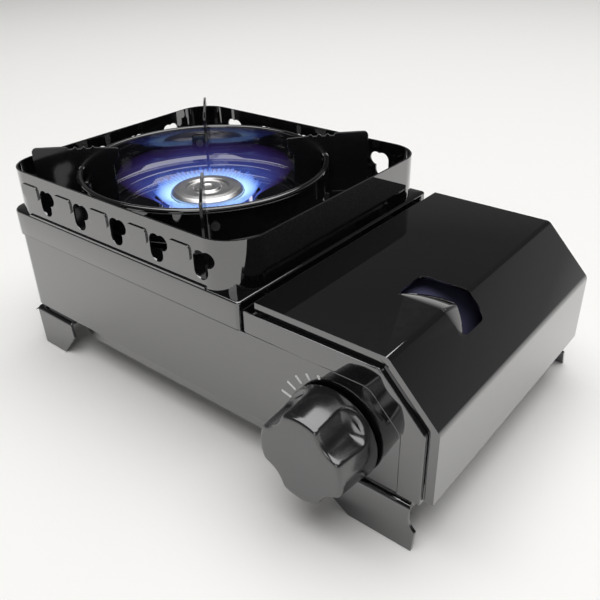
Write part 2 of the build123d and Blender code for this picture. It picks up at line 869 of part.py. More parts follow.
# ---------------------------------------------------------------- gas canister and governor
def at_canister(part):
    """Lay a part made round the Z axis on the canister axis, with its heights as depths."""
    return Pos(canister_x, front, canister_axis_height) * Rot(-90, 0, 0) * part


def make_canister_shell():
    """Gas canister: a domed end, a straight body between two seams, and a hollow base."""
    start = canister_from_front + 3
    end = canister_from_front + canister_length
    r = canister_radius
    rim = canister_rim
    neck = canister_valve_radius - 0.5
    w = canister_wall
    points = [
        (neck, start), (neck + 7.5, start + 1.6), (neck + 13.5, start + 5), (rim - 0.8, start + 7.6),
        (rim, start + 8.2), (rim, start + 8.2 + canister_rim_height), (r, start + 11), (r, end - 2.6),
        (rim, end - canister_rim_height), (rim, end), (r - 0.6, end), (r - 0.9, end - 1.6), (24, end - 4.4),
        (0, end - 5.4), (0, end - 5.4 - w), (24, end - 4.4 - w), (r - w, end - 2.6 - w), (r - w, start + 11),
        (neck + 13, start + 6.2), (neck + 7.2, start + 2.6), (neck, start + 1),
    ]
    return at_canister(turned(points))


def make_canister_valve():
    """Valve cup and stem of the canister."""
    start = canister_from_front
    ring = canister_valve_radius
    neck = ring - 0.5
    points = [
        (stem_hole, start - 6), (stem_radius, start - 6), (stem_radius, start + 1.5),
        (ring - 5, start + 1.5),
        (ring - 4, start), (ring, start), (ring, start + 3), (neck, start + 3), (neck, start + 4.2),
        (stem_hole, start + 4.2),
    ]
    return at_canister(turned(points))


def make_cradle(depth):
    """Cradle on the sunk floor with a curved seat under the canister."""
    y = front + depth
    x0 = canister_x - cradle_half_width
    x1 = canister_x + cradle_half_width
    cradle = block(x0, x1, y, y + foot_sheet, pan_floor, cradle_height)
    cradle += block(x0, x1, y, y + 8, pan_floor, pan_floor + sheet)
    seat = canister_radius + cradle_clearance
    return cradle - rod_y(canister_x, y - 1, y + 9, canister_axis_height, seat)


def governor_screw_bars(y0, y1, radius):
    """Bars on the two screw places of the governor."""
    reach = (governor_radius + magnet_outer_radius) / 2
    return [rod_y(canister_x + side * reach, y0, y1, canister_axis_height, radius) for side in (-1, 1)]


def make_bulkhead():
    """Bulkhead that carries the governor, with a foot flange on the raised floor."""
    y = bulkhead_y
    bevel_x = right - 9
    outline = [
        (partition_x + sheet, pan_shoulder + 0.5), (partition_x + sheet, seam_height + 8),
        (crease_x - 4, seam_height + 8), (bevel_x, bevel_height - 3), (bevel_x, pan_shoulder + 0.5),
    ]
    plate = along_y(make_face(Polyline(*outline, close=True)), y, y + sheet)
    foot_low = raised_underside + sheet
    plate += block(right - 52, right - 16, y, y + sheet, foot_low, pan_shoulder + 2)
    plate += block(right - 52, right - 16, y - 7, y + sheet, foot_low, foot_low + sheet)
    plate -= rod_y(canister_x, y - 1, y + 2, canister_axis_height, governor_spigot_radius + 0.3)
    for bar in governor_screw_bars(y - 1, y + 2, screw_radius):
        plate -= bar
    return plate


def make_governor_body():
    """Governor casting: a drum, a spigot for the canister stem and a boss for the gas jet."""
    y0 = front + governor_from_front
    y1 = bulkhead_y
    gas_y = front + gas_line_depth
    axis = canister_axis_height
    body = rod_y(canister_x, y0, y1, axis, governor_radius - 4)
    body += rod_y(canister_x, y0 + 3, y1, axis, governor_radius)
    body += rod_y(canister_x, y1, y1 + 1.6, axis, governor_spigot_radius)
    body += rod_x(jet_x, canister_x, gas_y, gas_height, governor_boss_radius)
    bore = spindle_radius + bearing_clearance
    body -= rod_y(knob_x, y0 - 1, front + spindle_inside + 1, knob_height, bore)
    body -= rod_y(canister_x, front + 18.5, y1 + 3, axis, stem_radius + socket_clearance)
    body -= rod_x(jet_x - 1, jet_x + 4, gas_y, gas_height, jet_radius)
    for bar in governor_screw_bars(y1 - 7, y1 + 1, screw_radius):
        body -= bar
    return body


def make_gland_nut():
    """Hexagon gland nut round the spindle on the front of the governor."""
    y1 = front + governor_from_front
    nut = along_y(Pos(knob_x, knob_height) * RegularPolygon(gland_radius, 6), y1 - 1.5, y1)
    return nut - rod_y(knob_x, y1 - 3, y1 + 1, knob_height, spindle_radius + bearing_clearance)


def make_magnet_ring():
    """Magnet ring that holds the valve cup of the canister."""
    y = bulkhead_y + sheet
    ring = rod_y(canister_x, y, y + magnet_thickness, canister_axis_height, magnet_outer_radius)
    return ring - rod_y(canister_x, y - 1, y + 3, canister_axis_height, magnet_inner_radius)


def make_governor_screws():
    """Screws through the bulkhead into the governor."""
    y = bulkhead_y + sheet
    shanks = governor_screw_bars(bulkhead_y - 7, y, screw_radius)
    heads = governor_screw_bars(y, y + screw_head, screw_radius * 1.8)
    return Compound(children=[shank + head for shank, head in zip(shanks, heads)])


def make_gas_jet():
    """Brass gas jet screwed into the governor, with its tip in the mouth of the mixing tube."""
    y = front + gas_line_depth
    x = jet_x
    jet = rod_x(x, x + 4, y, gas_height, jet_radius)
    hexagon = extrude(RegularPolygon(jet_radius + 1, 6), 1.5, both=True)
    jet += Pos(x - 1.5, y, gas_height) * Rot(0, 90, 0) * hexagon
    jet += rod_x(tube_start_x - 2, x - 3, y, gas_height, 1.8)
    return jet - rod_x(x - 40, x + 5, y, gas_height, 0.5)


# ---------------------------------------------------------------- cover
def make_cover():
    """Canister cover: top, bevel and end in one sheet, with hems, a finger slot and hinge ears."""
    y0 = front + cover_setback
    y1 = back - cover_setback
    cover = along_y(strip_face(cover_path(0), sheet, cover_bend), y0, y1)
    hem = strip_face(cover_path(0), sheet + cover_hem, cover_bend)
    cover += along_y(hem, y0, y0 + sheet) + along_y(hem, y1 - sheet, y1)
    slot_start = front + slot_from_front
    lip_start = slot_start - lip_radius
    slot_end = slot_start + slot_width
    middle = (slot_x + slot_length / 2, (lip_start + slot_end) / 2)
    opening = Pos(*middle) * RectangleRounded(slot_length, slot_end - lip_start, 5)
    cover -= along_z(opening, bevel_height, cover_height + 1)
    cover += finger_lip(lip_start)
    for y in cover_ear_places():
        ear = rod_y(hinge_x, y, y + sheet, hinge_height, hinge_ear_radius)
        ear += block(
            hinge_x - 1.6, hinge_x + hinge_ear_radius, y, y + sheet, hinge_height, cover_height - sheet / 2
        )
        cover += ear - rod_y(hinge_x, y - 1, y + 2 * sheet, hinge_height, hinge_pin_radius + hinge_clearance)
    return cover


def finger_lip(lip_start):
    """Rolled lip on the near side of the finger slot, mitred at the crease."""
    run = (right - crease_x, bevel_height - cover_height)
    length = math.hypot(*run)
    bevel = (run[0] / length, 0, run[1] / length)
    ring = Circle(lip_radius) - Circle(lip_radius - sheet)
    quadrant = Pos(lip_radius / 2, lip_radius / 2) * Rectangle(lip_radius, lip_radius)
    quarter = Pos(0, -lip_radius) * (ring & quadrant)
    corner = (crease_x, lip_start, cover_height)
    mitre = Plane(origin=corner, x_dir=(0, 1, 0), z_dir=(1 + bevel[0], 0, bevel[2]))
    across = crease_x - (slot_x) - 5
    down = (slot_x + slot_length - crease_x - 5) / bevel[0]
    flat_plane = Plane(origin=(crease_x - across, lip_start, cover_height), x_dir=(0, 1, 0), z_dir=(1, 0, 0))
    flat = split(extrude(flat_plane * quarter, across + 10), bisect_by=mitre, keep=Keep.BOTTOM)
    start = tuple(c - 10 * b for c, b in zip(corner, bevel))
    steep_plane = Plane(origin=start, x_dir=(0, 1, 0), z_dir=bevel)
    steep = split(extrude(steep_plane * quarter, 10 + down), bisect_by=mitre, keep=Keep.TOP)
    return flat + steep


def cover_ear_places():
    """Depths of the two ears of the cover, each just inside a fixed ear."""
    near, far = hinge_ear_places()
    return (near + sheet + seat_gap, far - sheet - seat_gap)


def make_hinge_pin():
    """Long hinge pin pressed into the fixed ears."""
    near, far = hinge_ear_places()
    return rod_y(hinge_x, near - sheet, far + 2 * sheet, hinge_height, hinge_pin_radius)


# ---------------------------------------------------------------- knob and igniter
def at_knob(part):
    """Lay a part made round the Z axis on the knob axis, with its heights in front of the panel."""
    return Pos(knob_x, front, knob_height) * Rot(90, 0, 0) * part


def make_knob():
    """Turning knob with four lobes, a round base and a bored boss inside."""
    reach = knob_reach
    face = knob_face_radius
    points = [
        (0, knob_gap), (knob_radius, knob_gap), (knob_radius, knob_gap + 1), (face + 0.4, reach - 3),
        (face, reach - 1.2), (face - 1.2, reach), (0, reach),
    ]
    knob = turned(points)
    valley = knob_face_radius - knob_flute_depth
    flute_end = reach - knob_flute_length + knob_flute_radius
    for index in range(4):
        place = Rot(0, 0, 45 + 90 * index) * Pos(valley + knob_flute_radius, 0, flute_end)
        flute = Sphere(knob_flute_radius)
        flute += Pos(0, 0, knob_flute_length / 2) * Cylinder(knob_flute_radius, knob_flute_length)
        knob -= place * flute
    hollow = rod_z(0, 0, knob_gap - 1, reach - 5, knob_wall_radius - 3)
    hollow += rod_z(0, 0, knob_gap - 1, 6.5, knob_radius - 2)
    hollow -= rod_z(0, 0, knob_gap - 2, reach, knob_boss_radius)
    knob -= hollow
    knob -= rod_z(0, 0, knob_gap - 1, spindle_outside, spindle_radius)
    return at_knob(knob)


def make_spindle():
    """Spindle from the knob through the front panel into the governor."""
    return rod_y(knob_x, front - spindle_outside, front + spindle_inside, knob_height, spindle_radius)


def cam_reach(degrees):
    """Cam radius at an angle from +X: a spiral over the working range, a base circle elsewhere."""
    if -24 <= degrees <= 82:
        return max(cam_radius - cam_rise_per_degree * degrees, cam_base_radius)
    return cam_base_radius


def make_igniter_cam():
    """Spiral cam on the spindle that pushes the igniter plunger."""
    steps = 36
    low, high = -24, 82
    spiral = []
    for step in range(steps + 1):
        degrees = low + (high - low) * step / steps
        reach = cam_reach(degrees)
        angle = math.radians(degrees)
        spiral.append((knob_x + reach * math.cos(angle), knob_height + reach * math.sin(angle)))
    lobe = make_face(Spline(*spiral) + Polyline(spiral[-1], (knob_x, knob_height), spiral[0]))
    y0 = front + cam_from_front
    cam = along_y(lobe + Pos(knob_x, knob_height) * Circle(cam_base_radius), y0, y0 + cam_thickness)
    return cam - rod_y(knob_x, y0 - 1, y0 + cam_thickness + 1, knob_height, spindle_radius)


def make_igniter_body():
    """Piezo igniter block behind the front panel, bored for its plunger."""
    x0 = right - igniter_from_right
    half = igniter_height / 2
    y0 = front + sheet
    body = block(x0, x0 + igniter_length, y0, y0 + igniter_depth, knob_height - half, knob_height + half)
    y = front + cam_from_front + cam_thickness / 2
    tip = knob_x + cam_radius + cam_gap
    end = tip + plunger_length + 2
    return body - rod_x(x0 - 1, end, y, knob_height, plunger_radius + plunger_clearance)


def make_igniter_plunger():
    """Plunger with a conical tip that follows the cam."""
    tip = knob_x + cam_radius + cam_gap
    points = [
        (0, 0), (plunger_tip_radius, 0), (plunger_radius, plunger_tip_length),
        (plunger_radius, plunger_length),
        (0, plunger_length),
    ]
    y = front + cam_from_front + cam_thickness / 2
    return Pos(tip, y, knob_height) * Rot(0, 90, 0) * turned(points)


# ---------------------------------------------------------------- export
def all_parts():
    """Every piece by name."""
    parts = {
        "front_panel": make_front_panel(),
        "side_shell": make_side_shell(),
        "canister_frame_front": make_canister_frame(True),
        "canister_frame_rear": make_canister_frame(False),
        "partition": make_partition(),
        "base_pan": make_base_pan(),
        "foot_front_left": make_foot(True, True),
        "foot_front_right": make_foot(False, True),
        "foot_rear_left": make_foot(True, False),
        "foot_rear_right": make_foot(False, False),
        "foot_screws": make_foot_screws(),
        "top_plate": make_top_plate(),
        "skirt_screws": make_skirt_screws(),
        "windshield": make_windshield(),
        "burner_stand": make_burner_stand(),
        "mixing_tube": make_mixing_tube(),
        "burner_body": make_burner_body(),
        "burner_ring": make_burner_ring(),
        "burner_cap": make_burner_cap(),
        "electrode_ceramic": make_electrode_ceramic(),
        "electrode_wire": make_electrode_wire(),
        "electrode_bracket": make_electrode_bracket(),
        "ignition_lead": make_ignition_lead(),
        "heat_strip": make_heat_strip(),
        "drip_pan": make_drip_pan(),
        "arm_rivets": make_arm_rivets(),
        "canister_shell": make_canister_shell(),
        "canister_valve": make_canister_valve(),
        "cradle_front": make_cradle(cradle_front_depth),
        "cradle_rear": make_cradle(cradle_rear_depth),
        "bulkhead": make_bulkhead(),
        "governor_body": make_governor_body(),
        "gland_nut": make_gland_nut(),
        "magnet_ring": make_magnet_ring(),
        "governor_screws": make_governor_screws(),
        "gas_jet": make_gas_jet(),
        "cover": make_cover(),
        "hinge_pin": make_hinge_pin(),
        "knob": make_knob(),
        "spindle": make_spindle(),
        "igniter_cam": make_igniter_cam(),
        "igniter_body": make_igniter_body(),
        "igniter_plunger": make_igniter_plunger(),
    }
    names = ("right_rear", "left_rear", "left_front", "right_front")
    for name, angle in zip(names, arm_angles()):
        parts[f"arm_{name}"] = make_arm(angle)
    return parts


os.makedirs("parts", exist_ok=True)
for part_name, shape in all_parts().items():
    export_step(shape, f"parts/{part_name}.step")
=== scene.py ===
"""Looks of a compact butane cassette stove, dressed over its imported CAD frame."""

from __future__ import annotations

import json
import logging
import math
from collections.abc import Callable, Sequence
from dataclasses import dataclass
from enum import Enum
from typing import ClassVar

import bmesh
import bpy
import numpy as np
from mathutils import Matrix

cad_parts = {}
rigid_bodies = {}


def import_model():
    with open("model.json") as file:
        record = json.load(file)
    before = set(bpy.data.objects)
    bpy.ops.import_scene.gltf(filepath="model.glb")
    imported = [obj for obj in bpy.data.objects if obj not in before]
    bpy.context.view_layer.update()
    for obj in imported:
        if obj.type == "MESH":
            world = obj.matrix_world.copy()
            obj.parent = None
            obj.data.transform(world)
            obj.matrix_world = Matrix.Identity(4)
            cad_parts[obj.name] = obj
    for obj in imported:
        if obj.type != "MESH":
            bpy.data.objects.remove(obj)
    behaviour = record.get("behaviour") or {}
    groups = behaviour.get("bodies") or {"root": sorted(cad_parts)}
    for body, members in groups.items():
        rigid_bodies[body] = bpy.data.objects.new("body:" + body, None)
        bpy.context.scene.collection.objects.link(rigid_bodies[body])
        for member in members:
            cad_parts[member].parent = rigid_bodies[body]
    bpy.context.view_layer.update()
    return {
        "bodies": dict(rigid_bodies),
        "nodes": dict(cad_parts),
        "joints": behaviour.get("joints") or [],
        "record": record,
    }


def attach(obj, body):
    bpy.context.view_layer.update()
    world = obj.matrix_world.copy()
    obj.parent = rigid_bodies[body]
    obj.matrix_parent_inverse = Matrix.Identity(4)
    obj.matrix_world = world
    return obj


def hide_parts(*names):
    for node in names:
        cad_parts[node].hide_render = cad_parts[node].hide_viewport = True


LOG = logging.getLogger("stove")
MM = 0.001
POLE = 0.001  # vertices nearer than this, in millimetres, make one pole
Points = np.ndarray
Mesh = tuple[np.ndarray, list[tuple[int, ...]]]
Vector = Sequence[float] | np.ndarray
Colour = tuple[float, float, float]


# ------------------------------------------------------------------ main sizes
@dataclass(frozen=True)
class StoveSizes:
    """Sizes that several sub-assemblies share, in millimetres."""

    left: float = -143.0
    front: float = -71.0
    back: float = 91.0
    burner_x: float = -57.5
    burner_y: float = 7.0
    plate_right: float = 41.0
    seam: float = 71.0
    top: float = 86.0
    stand_off: float = 1.2
    knob_x: float = 94.0
    knob_z: float = 40.5


SIZES = StoveSizes()


# ------------------------------------------------------------------ surfaces
def lattice(points: Points, closed_rows: bool = False, closed_columns: bool = False) -> Mesh:
    """Turn a grid of points into vertices and four-sided faces.

    Args:
        points: Array of shape (rows, columns, 3), in millimetres.
        closed_rows: Whether the last row joins the first.
        closed_columns: Whether the last column joins the first.

    Returns:
        The vertices and the faces.
    """
    rows, columns = points.shape[:2]
    index = np.arange(rows * columns).reshape(rows, columns)
    if closed_rows:
        index = np.vstack([index, index[:1]])
    if closed_columns:
        index = np.hstack([index, index[:, :1]])
    faces = np.stack([index[:-1, :-1], index[:-1, 1:], index[1:, 1:], index[1:, :-1]], axis=-1)
    return points.reshape(-1, 3), [tuple(face) for face in faces.reshape(-1, 4).tolist()]


def joined(parts: Sequence[Mesh]) -> Mesh:
    """Put several meshes into one.

    Args:
        parts: The meshes.

    Returns:
        One mesh that holds them all.
    """
    vertices: list[np.ndarray] = []
    faces: list[tuple[int, ...]] = []
    count = 0
    for part_vertices, part_faces in parts:
        vertices.append(part_vertices)
        faces.extend(tuple(i + count for i in face) for face in part_faces)
        count += len(part_vertices)
    return np.vstack(vertices), faces


def rounded_path(points: Sequence[tuple[float, ...]], closed: bool, steps: int = 6) -> Points:
    """Plane path whose corners are arcs.

    A corner (x, y, r) becomes the circular arc of radius r that touches both of its sides,
    sampled at equal angles, which takes at most about half of either side; a corner without r
    stays sharp.

    Args:
        points: Corners as (x, y) or (x, y, r).
        closed: Whether the path closes on itself.
        steps: Number of pieces in each arc.

    Returns:
        Array of shape (count, 2).
    """
    side_share = 0.49
    result: list[np.ndarray] = []
    count = len(points)
    for i, corner in enumerate(points):
        here = np.array(corner[:2], float)
        radius = corner[2] if len(corner) > 2 else 0.0
        if radius <= 0 or (not closed and i in (0, count - 1)):
            result.append(here[None, :])
            continue
        before = np.array(points[i - 1][:2], float) - here
        after = np.array(points[(i + 1) % count][:2], float) - here
        before_length = np.linalg.norm(before)
        after_length = np.linalg.norm(after)
        before /= before_length
        after /= after_length
        half = math.acos(float(np.clip(before @ after, -1, 1))) / 2
        if half > math.pi / 2 - 1e-3:
            result.append(here[None, :])
            continue
        reach = min(radius / math.tan(half), before_length * side_share, after_length * side_share)
        radius = reach * math.tan(half)
        middle = (before + after) / np.linalg.norm(before + after)
        centre = here + middle * radius / math.sin(half)
        start = here + before * reach - centre
        end = here + after * reach - centre
        a0 = math.atan2(start[1], start[0])
        sweep = (math.atan2(end[1], end[0]) - a0 + math.pi) % (2 * math.pi) - math.pi
        angles = a0 + sweep * np.linspace(0, 1, steps + 1)
        result.append(centre + radius * np.stack([np.cos(angles), np.sin(angles)], axis=1))
    return np.vstack(result)


def turned(profile: Points, centre: tuple[float, float], segments: int = 96,
           closed: bool = True) -> Mesh:
    """Surface of revolution about an upright axis.

    Point (r, z) of the profile sweeps the circle (cx + r cos a, cy + r sin a, z).

    Args:
        profile: Array of (r, z), in millimetres.
        centre: Place of the axis.
        segments: Number of pieces round the circle.
        closed: Whether the profile closes on itself.

    Returns:
        The mesh.
    """
    angle = np.linspace(0, 2 * math.pi, segments, endpoint=False)
    r = profile[:, 0][:, None]
    z = np.broadcast_to(profile[:, 1][:, None], (len(profile), segments))
    grid = np.stack([centre[0] + r * np.cos(angle), centre[1] + r * np.sin(angle), z], axis=-1)
    return lattice(grid, closed_rows=closed, closed_columns=True)


def plate(outline: Points, low: float, high: float, edge: float) -> Mesh:
    """Flat plate with softened edges, in its own (u, v, w) axes.

    The outline is carried from w = low to w = high; the first and last ring lie edge further
    in, along the mean of the two side normals, so that the rim has a chamfer. The mean is kept
    from growing long at a sharp corner.

    Args:
        outline: Array of (u, v), counter-clockwise.
        low: Lower face.
        high: Upper face.
        edge: Size of the chamfer.

    Returns:
        The mesh.
    """
    sharpest = 0.35
    ahead = np.roll(outline, -1, axis=0) - outline
    normal = np.stack([ahead[:, 1], -ahead[:, 0]], axis=1)
    normal /= np.maximum(np.linalg.norm(normal, axis=1, keepdims=True), 1e-9)
    mean = normal + np.roll(normal, 1, axis=0)
    mean /= np.maximum((mean**2).sum(1, keepdims=True) / 2, sharpest)
    inner = outline - mean * edge
    rings = [(inner, low), (outline, low + edge), (outline, high - edge), (inner, high)]
    grid = np.stack([np.hstack([ring, np.full((len(ring), 1), w)]) for ring, w in rings])
    vertices, faces = lattice(grid, closed_columns=True)
    count = len(outline)
    bottom = tuple(range(count - 1, -1, -1))
    top = tuple(range(3 * count, 4 * count))
    return vertices, faces + [bottom, top]


def placed(mesh: Mesh, origin: Vector, u: Vector, v: Vector, w: Vector) -> Mesh:
    """Carry a mesh from its own axes to the stove's.

    Args:
        mesh: Mesh in (u, v, w) axes.
        origin: Where its origin goes.
        u: Direction of its first axis.
        v: Direction of its second axis.
        w: Direction of its third axis.

    Returns:
        The carried mesh.
    """
    axes = np.array([u, v, w], float)
    return mesh[0] @ axes + np.array(origin, float), mesh[1]


def rounded_rectangle(half: tuple[float, float], radii: Sequence[float], per_side: int,
                      per_corner: int) -> Callable[[float], Points]:
    """Family of rounded rectangles, one inside the other.

    At inset d the half sizes are (a - d, b - d) and the corner radius is r - d, though never
    under a smallest one. So the corners keep their centres, and each member has its points at
    the same angles.

    Args:
        half: Half width and half depth.
        radii: Radius of each corner, counter-clockwise from the right rear one.
        per_side: Points on each straight side.
        per_corner: Points on each corner.

    Returns:
        A function from inset to an array of (x, y).
    """
    smallest = 0.25

    def member(inset: float) -> Points:
        """Rectangle at an inset.

        Args:
            inset: How far it lies inside the outermost one.

        Returns:
            Array of (x, y).
        """
        a, b = half[0] - inset, half[1] - inset
        sides = []
        for k, (sx, sy) in enumerate(((1, 1), (-1, 1), (-1, -1), (1, -1))):
            r = min(max(radii[k] - inset, smallest), a, b)
            angles = math.pi / 2 * (k + np.linspace(0, 1, per_corner))
            x = sx * (a - r) + r * np.cos(angles)
            y = sy * (b - r) + r * np.sin(angles)
            sides.append(np.stack([x, y], axis=1))
        pieces = []
        for k in range(4):
            start, end = sides[k][-1], sides[(k + 1) % 4][0]
            t = np.linspace(0, 1, per_side + 2)[1:-1, None]
            pieces += [sides[k], start + (end - start) * t]
        return np.vstack(pieces)

    return member


# ------------------------------------------------------------------ objects
class Shading(Enum):
    """How the faces of a piece are shaded."""

    SMOOTH = 180.0
    SOFT_EDGES = 50.0
    SHEET = 32.0


def make_object(name: str, mesh: Mesh, material: bpy.types.Material, shading: Shading = Shading.SHEET,
                merge: float = 0.0) -> bpy.types.Object:
    """Make a Blender object from a mesh in millimetres.

    Args:
        name: Name of the piece.
        mesh: Its vertices and faces.
        material: Its material.
        shading: Angle under which neighbouring faces blend.
        merge: Distance in millimetres under which vertices are joined.

    Returns:
        The object, at the origin.
    """
    data = bpy.data.meshes.new(name)
    data.from_pydata((mesh[0] * MM).tolist(), [], mesh[1])
    if merge > 0:
        work = bmesh.new()
        work.from_mesh(data)
        bmesh.ops.remove_doubles(work, verts=work.verts, dist=merge * MM)
        bmesh.ops.recalc_face_normals(work, faces=work.faces)
        work.to_mesh(data)
        work.free()
    data.polygons.foreach_set("use_smooth", [True] * len(data.polygons))
    if shading is not Shading.SMOOTH:
        data.set_sharp_from_angle(angle=math.radians(shading.value))
    data.materials.append(material)
    data.update()
    piece = bpy.data.objects.new(name, data)
    bpy.context.scene.collection.objects.link(piece)
    return piece


# ------------------------------------------------------------------ shared shader groups
def new_group(name: str, inputs: Sequence[tuple[str, str, object]],
              outputs: Sequence[tuple[str, str]]) -> bpy.types.NodeTree:
    """Make an empty shader group with named sockets.

    Args:
        name: Name of the group.
        inputs: Name, kind and default of each input, where the kind is Float, Color or Vector.
        outputs: Name and kind of each output.

    Returns:
        The group, with its input and output nodes.
    """
    group = bpy.data.node_groups.new(name, "ShaderNodeTree")
    for label, kind, default in inputs:
        socket = group.interface.new_socket(name=label, in_out="INPUT", socket_type=f"NodeSocket{kind}")
        socket.default_value = default
    for label, kind in outputs:
        group.interface.new_socket(name=label, in_out="OUTPUT", socket_type=f"NodeSocket{kind}")
    group.nodes.new("NodeGroupInput").name = "in"
    group.nodes.new("NodeGroupOutput").name = "out"
    return group


def add_node(tree: bpy.types.NodeTree, kind: str, values: dict[str | int, object] | None = None,
             **settings: object) -> bpy.types.Node:
    """Add a shader node to a material or group.

    Args:
        tree: The nodes of the material or group.
        kind: Kind of the node, without the ShaderNode before it.
        values: Value of each input that is set.
        **settings: Settings of the node itself, such as its operation.

    Returns:
        The node.
    """
    node = tree.nodes.new(f"ShaderNode{kind}")
    for setting, value in settings.items():
        setattr(node, setting, value)
    for socket, value in (values or {}).items():
        node.inputs[socket].default_value = value
    return node


def wire(tree: bpy.types.NodeTree, source: bpy.types.Node, output: str, target: bpy.types.Node,
         socket: str | int) -> None:
    """Join an output of one node to an input of another."""
    tree.links.new(source.outputs[output], target.inputs[socket])


class ShaderEffects:
    """The shared effects: each is a node group that is built once."""

    def __init__(self) -> None:
        """Build the groups."""
        self.orange_peel = self._orange_peel()
        self.smudges = self._smudges()
        self.edge_wear = self._edge_wear()
        # painted shade: a dark line where the gap under the top plate's skirt would lie in shadow
        self.painted_seam_shade = self._painted_seam_shade()

    @staticmethod
    def _painted_seam_shade() -> bpy.types.NodeTree:
        """Mask of the painted shade line that stands for the shadow in the gap under the top plate's skirt,
        on the burner side only.

        Returns:
            The group: its mask is 1 within half a width of a height, left of a given place.
        """
        group = new_group(
            "painted_seam_shade",
            [("Height", "Float", 0.0714), ("Half Width", "Float", 0.0003), ("Right", "Float", 0.04)],
            [("Mask", "Float")],
        )
        given, result = group.nodes["in"], group.nodes["out"]
        place = add_node(group, "TexCoord")
        split = add_node(group, "SeparateXYZ")
        near = add_node(group, "Math", operation="COMPARE")
        left = add_node(group, "Math", operation="LESS_THAN")
        both = add_node(group, "Math", operation="MULTIPLY")
        wire(group, place, "Object", split, "Vector")
        wire(group, split, "Z", near, 0)
        wire(group, given, "Height", near, 1)
        wire(group, given, "Half Width", near, 2)
        wire(group, split, "X", left, 0)
        wire(group, given, "Right", left, 1)
        wire(group, near, "Value", both, 0)
        wire(group, left, "Value", both, 1)
        wire(group, both, "Value", result, "Mask")
        return group

    @staticmethod
    def _orange_peel() -> bpy.types.NodeTree:
        """Long soft waves of a sprayed and baked coat.

        Returns:
            The group, which bumps the normal by a smooth noise.
        """
        group = new_group(
            "orange_peel",
            [("Scale", "Float", 900.0), ("Strength", "Float", 0.05)],
            [("Normal", "Vector")],
        )
        given, result = group.nodes["in"], group.nodes["out"]
        place = add_node(group, "TexCoord")
        noise = add_node(group, "TexNoise", {"Detail": 2.0})
        bump = add_node(group, "Bump", {"Distance": 0.0004})
        wire(group, place, "Object", noise, "Vector")
        wire(group, given, "Scale", noise, "Scale")
        wire(group, given, "Strength", bump, "Strength")
        wire(group, noise, "Fac", bump, "Height")
        wire(group, bump, "Normal", result, "Normal")
        return group

    @staticmethod
    def _smudges() -> bpy.types.NodeTree:
        """Roughness that drifts in large soft patches, as handled enamel does.

        Returns:
            The group, which spreads a noise between a low and a high roughness.
        """
        group = new_group(
            "smudges",
            [("Low", "Float", 0.1), ("High", "Float", 0.2), ("Scale", "Float", 25.0)],
            [("Roughness", "Float")],
        )
        given, result = group.nodes["in"], group.nodes["out"]
        place = add_node(group, "TexCoord")
        noise = add_node(group, "TexNoise", {"Detail": 5.0, "Roughness": 0.6})
        spread = add_node(group, "MapRange", {"From Min": 0.35, "From Max": 0.7})
        wire(group, place, "Object", noise, "Vector")
        wire(group, given, "Scale", noise, "Scale")
        wire(group, noise, "Fac", spread, "Value")
        wire(group, given, "Low", spread, "To Min")
        wire(group, given, "High", spread, "To Max")
        wire(group, spread, "Result", result, "Roughness")
        return group

    @staticmethod
    def _edge_wear() -> bpy.types.NodeTree:
        """Colour that turns to a worn colour on sharp convex edges, broken up by noise.

        Returns:
            The group: the share of the worn colour is convexity times noise times amount.
        """
        group = new_group(
            "edge_wear",
            [("Base", "Color", (0.01, 0.01, 0.01, 1)), ("Worn", "Color", (0.1, 0.1, 0.1, 1)),
             ("Amount", "Float", 0.3)],
            [("Color", "Color")],
        )
        given, result = group.nodes["in"], group.nodes["out"]
        place = add_node(group, "TexCoord")
        noise = add_node(group, "TexNoise", {"Scale": 300.0})
        geometry = add_node(group, "NewGeometry")
        convex = add_node(group, "MapRange", {"From Min": 0.52, "From Max": 0.62})
        broken = add_node(group, "Math", operation="MULTIPLY")
        amount = add_node(group, "Math", operation="MULTIPLY")
        mix = add_node(group, "Mix", data_type="RGBA")
        wire(group, place, "Object", noise, "Vector")
        wire(group, geometry, "Pointiness", convex, "Value")
        wire(group, convex, "Result", broken, 0)
        wire(group, noise, "Fac", broken, 1)
        wire(group, broken, "Value", amount, 0)
        wire(group, given, "Amount", amount, 1)
        wire(group, amount, "Value", mix, "Factor")
        wire(group, given, "Base", mix, "A")
        wire(group, given, "Worn", mix, "B")
        wire(group, mix, "Result", result, "Color")
        return group


